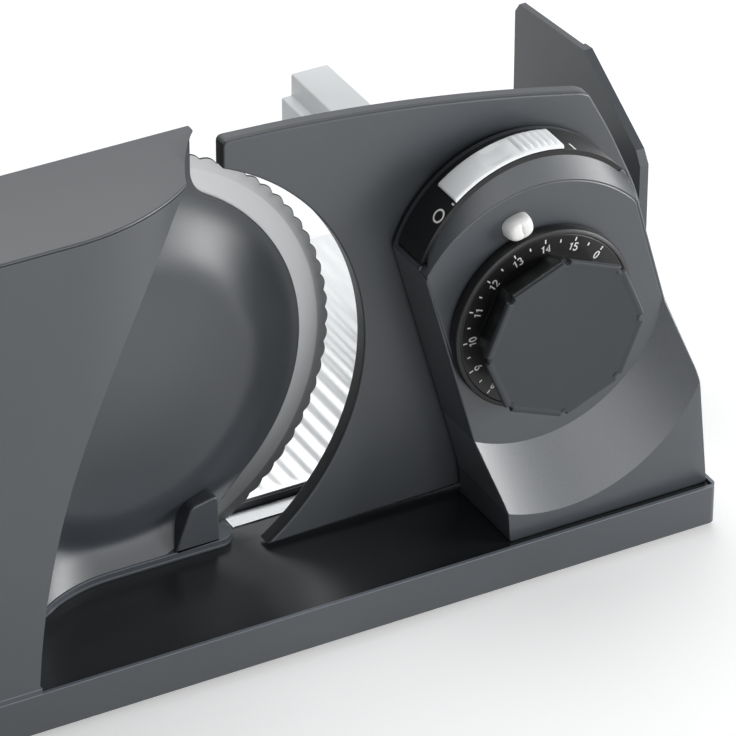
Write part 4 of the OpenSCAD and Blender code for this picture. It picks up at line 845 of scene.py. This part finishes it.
def scooped_plastic():
    """The tower's plastic. Its scoop is painted lighter, with a sparkle: partly a coating of its own and
    partly a painted highlight. The scoop is what lies outside the face's circle and inside the toe's circle."""
    f = Finish("tower moulding")
    x, y, z = f.parts(f.here(about=BLADE))
    toe = FACE_Y - TOE_Y
    low = z < (DIAL_Z - SCOOP_DOWN) * MM
    out_x, out_z = x - DIAL_X * MM, z - DIAL_Z * MM
    outside = (out_x * out_x + out_z * out_z) ** 0.5 > FACE_R * MM
    toe_x, toe_z = x - (DIAL_X + TOE_DRIFT_X * toe) * MM, z - (DIAL_Z + TOE_DRIFT_Z * toe) * MM
    inside = (toe_x * toe_x + toe_z * toe_z) ** 0.5 < (FACE_R + TOE_GROWTH * toe) * MM
    # painted highlight: the scoop's colour is made lighter, partly for its coating and partly for its highlight
    coat_and_painted_highlight = low * outside * inside
    return grained_plastic("tower moulding", *GREY, f=f, coat_and_painted_highlight=coat_and_painted_highlight, sheen=coat_and_painted_highlight)


# Switch


def slider_bar():
    """The switch slider: a bar bent round the arc. Over angle and width its height has a shallow dish in the
    middle and six grip ridges to the right, and it rounds off at all four sides."""
    degrees = np.linspace(SLIDER_FROM, SLIDER_TO, 260)
    length = np.radians(degrees - SLIDER_FROM) * SLIDER_R
    quarter = SLIDER_ROUND * (1 - np.cos(np.linspace(0, math.pi / 2, 5)))
    across = np.concatenate([quarter, np.linspace(SLIDER_ROUND, SLIDER_W - SLIDER_ROUND, 9)[1:-1],
                             SLIDER_W - quarter[::-1]])
    ends = np.clip(1 - np.minimum(length, length[-1] - length) / SLIDER_ROUND, 0, 1)[:, None]
    to_side = np.minimum(across, SLIDER_W - across)[None, :]
    sides = np.clip(1 - to_side / SLIDER_ROUND, 0, 1)
    height = SLIDER_T - SLIDER_ROUND * (1 - np.sqrt(np.clip(1 - ends ** 2 - sides ** 2, 0, 1)))
    ridge = np.abs(np.sin(np.pi * (degrees - RIDGE_FROM) / RIDGE_STEP)) ** RIDGE_POWER
    ridges = np.where((degrees > RIDGE_FROM) & (degrees < RIDGE_TO), ridge * RIDGE_H, 0)[:, None]
    dish = THUMB_DEEP * (1 - smooth_step(np.abs(degrees - THUMB_AT) / THUMB_HALF))[:, None]
    height = height + (ridges - dish) * smooth_step(to_side / SLIDER_SOFT)
    foot = np.zeros((len(degrees), 1))
    section = np.concatenate([foot, height, foot], 1)
    y = np.concatenate([[0], across, [SLIDER_W]]) + SLIDER_FRONT
    flat = around(ARC, SLIDER_R + section, degrees[:, None] + 0 * section)
    points = np.stack([flat[..., 0], np.broadcast_to(y, section.shape), flat[..., 1]], -1)
    rows, cols = section.shape
    faces = grid_faces(rows, cols, close_cols=True) + end_caps(rows, cols)
    mesh_piece("slider_bar", points.reshape(-1, 3), faces, "switch", "light_plastic", ["switch_slider"],
               sharp=38)


# Signs


def bow(x, y, rx, ry, start, stop, steps=11):
    """Part of an ellipse, from one angle to another."""
    turn = np.radians(np.linspace(start, stop, steps))
    return np.stack([x + rx * np.cos(turn), y + ry * np.sin(turn)], 1).tolist()


DIGITS = {
    "0": [bow(0.3, 0.5, 0.26, 0.5, 90, 450, 19)],
    "1": [[(0.1, 0.74), (0.36, 1), (0.36, 0)]],
    "2": [bow(0.3, 0.73, 0.26, 0.27, 165, -40) + [(0.03, 0), (0.58, 0)]],
    "3": [bow(0.28, 0.75, 0.25, 0.25, 150, -90), bow(0.28, 0.25, 0.29, 0.25, 90, -150)],
    "4": [[(0.45, 0), (0.45, 1), (0.02, 0.28), (0.6, 0.28)]],
    "5": [[(0.54, 1), (0.12, 1), (0.08, 0.56)] + bow(0.28, 0.3, 0.28, 0.3, 120, -150)],
    "6": [[(0.48, 1)] + bow(0.3, 0.3, 0.27, 0.3, 155, -205, 19)],
    "7": [[(0.03, 1), (0.57, 1), (0.2, 0)]],
    "8": [bow(0.3, 0.76, 0.21, 0.24, -90, 270, 17), bow(0.3, 0.26, 0.27, 0.26, 90, 450, 17)],
    "9": [[(0.12, 0)] + bow(0.3, 0.7, 0.27, 0.3, -25, 335, 19)],
}


def ribbon(path, width, height):
    """A raised line along a flat path: four corners carried along it, square to the path. Its points are
    across, along and up."""
    path = np.asarray(path, float)
    step = np.gradient(path, axis=0)
    side = np.stack([-step[:, 1], step[:, 0]], 1) / np.maximum(np.linalg.norm(step, axis=1), TINY)[:, None]
    corners = [(-0.5, -height), (-0.5, height), (0.5, height), (0.5, -height)]
    grid = np.stack([np.insert(path + side * width * s, 2, h, axis=1) for s, h in corners], 1)
    count = len(path)
    faces = grid_faces(count, 4, close_cols=True) + [[0, 1, 2, 3], [4 * count - 1 - k for k in range(4)]]
    return grid.reshape(-1, 3), faces


def marks(name, lines, width, place, body):
    """White raised marks: every line becomes a ribbon, and place() takes it on to the surface."""
    points, faces, start = [], [], 0
    for line in lines:
        grid, quads = ribbon(line, width, MARK_H)
        points.append(place(grid))
        faces += [[i + start for i in quad] for quad in quads]
        start += len(grid)
    mesh_piece(name, np.concatenate(points), faces, body, "white_plastic", sharp=60)


def dial_marks():
    """Numbers 0 to 15 round the dial with their tops outwards, a tick over each and a short one between."""
    lines = []
    for number in range(16):
        turn = math.radians(NUMBER_13 - (number - 13) * NUMBER_STEP)
        out, right = np.array([math.cos(turn), math.sin(turn)]), np.array([math.sin(turn), -math.cos(turn)])
        text = str(number)
        for place, digit in enumerate(text):
            shift = (place - (len(text) - 1) / 2) * DIGIT_STEP - DIGIT_HALF
            for stroke in DIGITS[digit]:
                across, up = np.hsplit(np.asarray(stroke) * NUMBER_H, 2)
                lines.append(out * (NUMBER_R + up) + right * (across + shift * NUMBER_H))
        between_two = turn - math.radians(NUMBER_STEP / 2)
        middle = np.array([math.cos(between_two), math.sin(between_two)])
        lines.append(np.stack([out * (TICK_R - 1.5), out * TICK_R]))
        if number > 0:
            lines.append(np.stack([middle * (TICK_R - 2.2), middle * (TICK_R - 1.0)]))

    def on_dial(grid):
        return np.stack([DIAL_X + grid[:, 0], DIAL_FRONT - grid[:, 2], DIAL_Z + grid[:, 1]], 1)

    marks("dial_marks", lines, DIAL_LINE, on_dial, "dial")


def band_marks():
    """The switch's signs on the band: a ring for off, a bar for on and a fine tick, bent round the arc."""
    signs = [(OFF_SIGN, bow(0, 0, OFF_R, OFF_R, 0, 360, 41)), (ON_SIGN, [(0, -ON_HALF), (0, ON_HALF)]),
             (TICK_SIGN, [(0, TICK_LOW), (0, TICK_HIGH)])]
    lines = [np.array(line) + np.array([math.radians(degrees) * -ARC_R, y]) for (degrees, y), line in signs]

    def on_band(grid):
        flat = around(ARC, ARC_R + grid[:, 2], np.degrees(-grid[:, 0] / ARC_R))
        return np.stack([flat[:, 0], grid[:, 1], flat[:, 1]], 1)

    marks("band_marks", lines, BAND_LINE, on_band, "root")


# Dial


def turned(name, profile, degrees, body, slot, stands_for=(), shape=None, sharp=30):
    """A profile of radius and Y turned about the dial's axis: each point sits at the radius, at the angle
    and at the Y of its row. shape() may change each radius by angle."""
    profile = np.asarray(profile, float)
    radius = profile[:, :1] + 0 * degrees[None, :]
    if shape:
        radius = shape(radius, profile[:, 1:], degrees[None, :])
    flat = around(DIAL, radius, degrees[None, :] + 0 * radius)
    points = np.stack([flat[..., 0], np.broadcast_to(profile[:, 1:], radius.shape), flat[..., 1]], -1)
    rows, cols = radius.shape
    faces = grid_faces(rows, cols, close_cols=True) + end_caps(rows, cols)
    return mesh_piece(name, points.reshape(-1, 3), faces, body, slot, stands_for, sharp)


def grip_shape(radius, y, degrees):
    """Eight flats with rounded corners, and a notch in each corner near the front."""
    from_corner = np.abs((degrees + HALF_FLAT) % (2 * HALF_FLAT) - HALF_FLAT)
    flats = math.cos(math.radians(HALF_FLAT)) / np.cos(np.radians(HALF_FLAT - from_corner))
    eight = radius * np.minimum(flats, CORNER_CUT)
    notch = (1 - smooth_step((from_corner - NOTCH_HALF) / NOTCH_SOFT)) * smooth_step((NOTCH_Y - y) / 0.5)
    return eight - np.where(radius > NOTCH_R, NOTCH_DEEP * notch, 0)


def dial_pieces():
    """The scale disc with a fine groove near its rim, and the grip, which widens to the front and has a
    rounded lip round its flat face."""
    disc = [(0, DIAL_FRONT), (24, DIAL_FRONT), (DIAL_R - 2.3, DIAL_FRONT), (DIAL_R - 2.0, DIAL_FRONT + 0.25),
            (DIAL_R - 1.7, DIAL_FRONT), (DIAL_R - 1.1, DIAL_FRONT + 0.1), (DIAL_R - 0.4, DIAL_FRONT + 0.5),
            (DIAL_R, DIAL_FRONT + 1.2), (DIAL_R, DIAL_BACK - 0.8), (DIAL_R - 0.5, DIAL_BACK), (0, DIAL_BACK)]
    turned("dial_disc", disc, np.arange(0, 360, 1.5), "dial", "inner_black", ["scale_disc"])
    foot = [(0, DIAL_FRONT), (GRIP_R - 5.0, DIAL_FRONT), (GRIP_R - 5.2, DIAL_FRONT - 0.6),
            (GRIP_R - 4.5, DIAL_FRONT - 3.0)]
    lip = [(2.5, 6.9), (1.1, 3.7), (0.3, 2.3), (0.0, 1.5), (0.0, 0.9), (0.2, 0.5), (0.6, 0.15), (1.2, 0.0),
           (1.9, 0.05), (2.5, 0.2), (3.3, 0.25), (GRIP_R, 0.4)]
    grip = foot + [(GRIP_R - inwards, GRIP_FRONT + back) for inwards, back in lip]
    knob = turned("dial_knob", grip, np.arange(0, 360, 0.75), "dial", "moulded_grey", ["dial_grip"],
                  grip_shape, 26)
    knob.data.materials[0] = knob_plastic()


def knob_plastic():
    """Black round the side and blue-grey on the front of the grip."""
    f = Finish("grip moulding")
    x, y, z = f.parts(f.here(about=BLADE))
    return grained_plastic("grip moulding", (0.017, 0.021, 0.025), 0.42, grain=0.15, gloss=0.5, f=f,
                           dark=y > GRIP_BLACK_Y * MM)


def pointer():
    """The scale pointer: a pill over two flat directions u and v, whose height falls off near the edge as a
    superellipse, with a fold along the middle."""
    turn = math.radians(PILL_TURN)
    out, side = np.array([math.cos(turn), math.sin(turn)]), np.array([-math.sin(turn), math.cos(turn)])
    ring = np.radians(np.arange(0, 360, 5))
    share = np.concatenate([np.linspace(0, 0.8, 7), np.linspace(0.8, 1, 9)[1:]])[:, None]
    power = np.abs(np.cos(ring)) ** PILL_POWER + np.abs(np.sin(ring)) ** PILL_POWER
    bent = share * power ** (-1 / PILL_POWER)
    u, v = PILL_U * bent * np.cos(ring), PILL_V * bent * np.sin(ring)
    fold = FOLD_DEEP * np.exp(-(u / FOLD_W) ** 2) * (1 - share)
    height = PILL_H * np.sqrt(1 - share ** PILL_FALL) - fold
    flat = DIAL + out * (PILL_OUT + v[..., None]) + side * u[..., None]
    points = np.stack([flat[..., 0], FACE_Y - height, flat[..., 1]], -1)
    rows, cols = u.shape
    faces = grid_faces(rows, cols, close_cols=True) + end_caps(rows, cols)[1:]
    mesh_piece("pointer_pill", points.reshape(-1, 3), faces, "root", "white_plastic", ["scale_pointer"],
               sharp=60)


tower_shell()
slider_bar()
dial_pieces()
dial_marks()
band_marks()
pointer()

# The other pieces, with rounded edges


def moved_side(piece, x, way, shift):
    """Moves the points on one side of a plane across X by a shift: right of it for way 1, left for -1."""
    points = np.empty(len(piece.data.vertices) * 3)
    piece.data.vertices.foreach_get("co", points)
    points = points.reshape(-1, 3)
    points[:, 0] += np.where((points[:, 0] - placed([x, 0, 0])[0]) * way > 0, shift * MM, 0)
    piece.data.vertices.foreach_set("co", points.ravel())


def two_tone():
    """The base: grey plastic outside and on the rim, and a black gloss on the deck inside the rim. A band along
    the rim's top and the plinth's top are painted lighter, a painted highlight on these edges.
    """
    f = Finish("base moulding")
    x, y, z = f.parts(f.here(about=BLADE))
    deck = (x > (BASE_X0 + RIM_L) * MM) * (x < (BASE_X1 - RIM_R) * MM) * (y > (BASE_FRONT + RIM_FRONT) * MM)
    # painted highlight: the rim's top and the plinth's top are painted lighter
    light = (z > (DECK_Z + RIM_HIGHLIGHT_FROM) * MM) * (z < (DECK_Z + RIM_HIGHLIGHT_TO) * MM)
    rims = light + (z > (FOOT_Z - PLINTH_HIGHLIGHT) * MM)
    low = z < (DECK_Z + DECK_SKIN) * MM
    return grained_plastic("base moulding", *GREY, f=f, glossy=deck * low, edges=rims)


# Copies of CAD pieces: node, body, finish, width of the rounding and its steps
EDGED = (
    ("base_tray", "root", "deck_black", 0.35, 3),
    ("bottom_plate", "root", "inner_black", 0.4, 2),
    ("rubber_feet", "root", "foot_rubber", 1.0, 3),
    ("housing_back", "root", "moulded_grey", 0.5, 2),
    ("guide_strip", "root", "polished_steel", 0.15, 2),
    ("tower_back", "root", "inner_black", 0.3, 2),
    ("switch_band", "root", "inner_black", 0.15, 2),
    ("carriage_frame", "carriage", "moulded_grey", 0.4, 2),
    ("guard_wall", "carriage", "moulded_grey", 0.5, 2),
    ("runner_blocks", "carriage", "light_plastic", 0.3, 2),
    ("pusher_body", "pusher", "light_plastic", 0.6, 3),
    ("pusher_grip", "pusher", "light_plastic", 0.8, 3),
)
for node, body, slot, width, segments in EDGED:
    made = copied(node, body, slot, width, segments)
    if node == "base_tray":
        made.data.materials[0] = two_tone()
    if node == "pusher_body":
        moved_side(made, PUSHER_SPLIT_X, -1, PUSHER_SHIFT)
    if node == "guard_wall":
        moved_side(made, GUARD_SPLIT_X, 1, GUARD_SHIFT)

# Floor, light and camera


def soft_floor():
    """A white floor under the feet. To the camera and to mirrors it glows up to white, less in the shade."""
    f = Finish("white floor")
    ray = f.tree.nodes.new("ShaderNodeLightPath")
    seen = Number(f, ray.outputs["Is Camera Ray"]) + Number(f, ray.outputs["Is Glossy Ray"])
    f.set(Base_Color=f.tint(f.noise(f.here(), 3.0), (0.86, 0.86, 0.86), (0.88, 0.88, 0.88)), Roughness=0.9,
          Specular_IOR_Level=0.0, Emission_Color=f.tint(seen, (0, 0, 0), (1, 1, 1)),
          Emission_Strength=FLOOR_GLOW)
    half, drop = FLOOR_HALF, GROUND_Z * MM + BLADE[2]
    mesh = bpy.data.meshes.new("floor")
    corners = [(-half, -half, drop), (half, -half, drop), (half, half, drop), (-half, half, drop)]
    mesh.from_pydata(corners, [], [(0, 1, 2, 3)])
    mesh.materials.append(f.material)
    floor = bpy.data.objects.new("floor", mesh)
    bpy.context.scene.collection.objects.link(floor)


def lamp(name, place, aim, size, watts):
    """A square soft lamp, placed and aimed in millimetres from the blade's centre."""
    light = bpy.data.lights.new(name, "AREA")
    light.shape, light.size, light.energy = "SQUARE", size * MM, watts
    lit = bpy.data.objects.new(name, light)
    lit.location = placed(place).tolist()
    way = Vector(placed(aim) - placed(place))
    lit.rotation_euler = way.to_track_quat("-Z", "Y").to_euler()
    bpy.context.scene.collection.objects.link(lit)


def world_light():
    """White for the camera, a soft grey for the light on the object, and for mirrors a room that is white up
    to the height of its walls, dim above and dim towards the left front."""
    world = bpy.data.worlds.new("studio")
    world.use_nodes = True
    n = Nodes(world.node_tree)
    path = n.tree.nodes.new("ShaderNodeLightPath")
    seen, mirrored, through = (Number(n, path.outputs[ray])
                               for ray in ("Is Camera Ray", "Is Glossy Ray", "Is Transmission Ray"))
    x, y, up = n.parts(n.node("ShaderNodeTexCoord", out=0))
    soft = {"interpolation_type": "SMOOTHSTEP"}
    walls = n.node("ShaderNodeMapRange", soft, [up, WALL_FROM, WALL_TO, 1.0, DIM_CEILING])
    ahead = x * LIGHT_WAY[0] + y * LIGHT_WAY[1]
    room = walls * n.node("ShaderNodeMapRange", soft, [ahead, DIM_FROM, DIM_TO, DIM_SIDE, 1.0])
    level = (seen + through) * (1 - SOFT_LIGHT) + mirrored * (room - SOFT_LIGHT) + SOFT_LIGHT
    back = n.tree.nodes.new("ShaderNodeBackground")
    n.give(back.inputs["Color"], SKY_COLOR)
    n.give(back.inputs["Strength"], level)
    out = n.tree.nodes.new("ShaderNodeOutputWorld")
    n.tree.links.new(back.outputs[0], out.inputs["Surface"])
    bpy.context.scene.world = world


def photo_camera():
    """The photograph's view: from the left front, looking down, through a long lens."""
    azimuth, elevation, roll = (math.radians(a) for a in CAMERA_TURN)
    back = np.array([-math.sin(azimuth) * math.cos(elevation), -math.cos(azimuth) * math.cos(elevation),
                     math.sin(elevation)])
    lens = bpy.data.cameras.new("camera")
    lens.sensor_width, lens.lens = SENSOR_W, FOCAL_LENGTH
    lens.clip_start, lens.clip_end = CLIP
    camera = bpy.data.objects.new("camera", lens)
    camera.location = placed(CAMERA_AIM + back * CAMERA_AWAY).tolist()
    turn = Vector(-back).to_track_quat("-Z", "Y").to_matrix().to_4x4() @ Matrix.Rotation(roll, 4, "Z")
    camera.rotation_euler = turn.to_euler()
    bpy.context.scene.collection.objects.link(camera)
    bpy.context.scene.camera = camera


soft_floor()
world_light()
lamp("overhead", (150, 600, 1250), (60, 0, 0), 1200, 12)
lamp("side", (1230, -690, 190), (130, -40, -50), 520, 13)
lamp("front", (150, -1550, 330), (80, 0, -20), 900, 8)
photo_camera()
bpy.context.scene.view_settings.view_transform = "Standard"
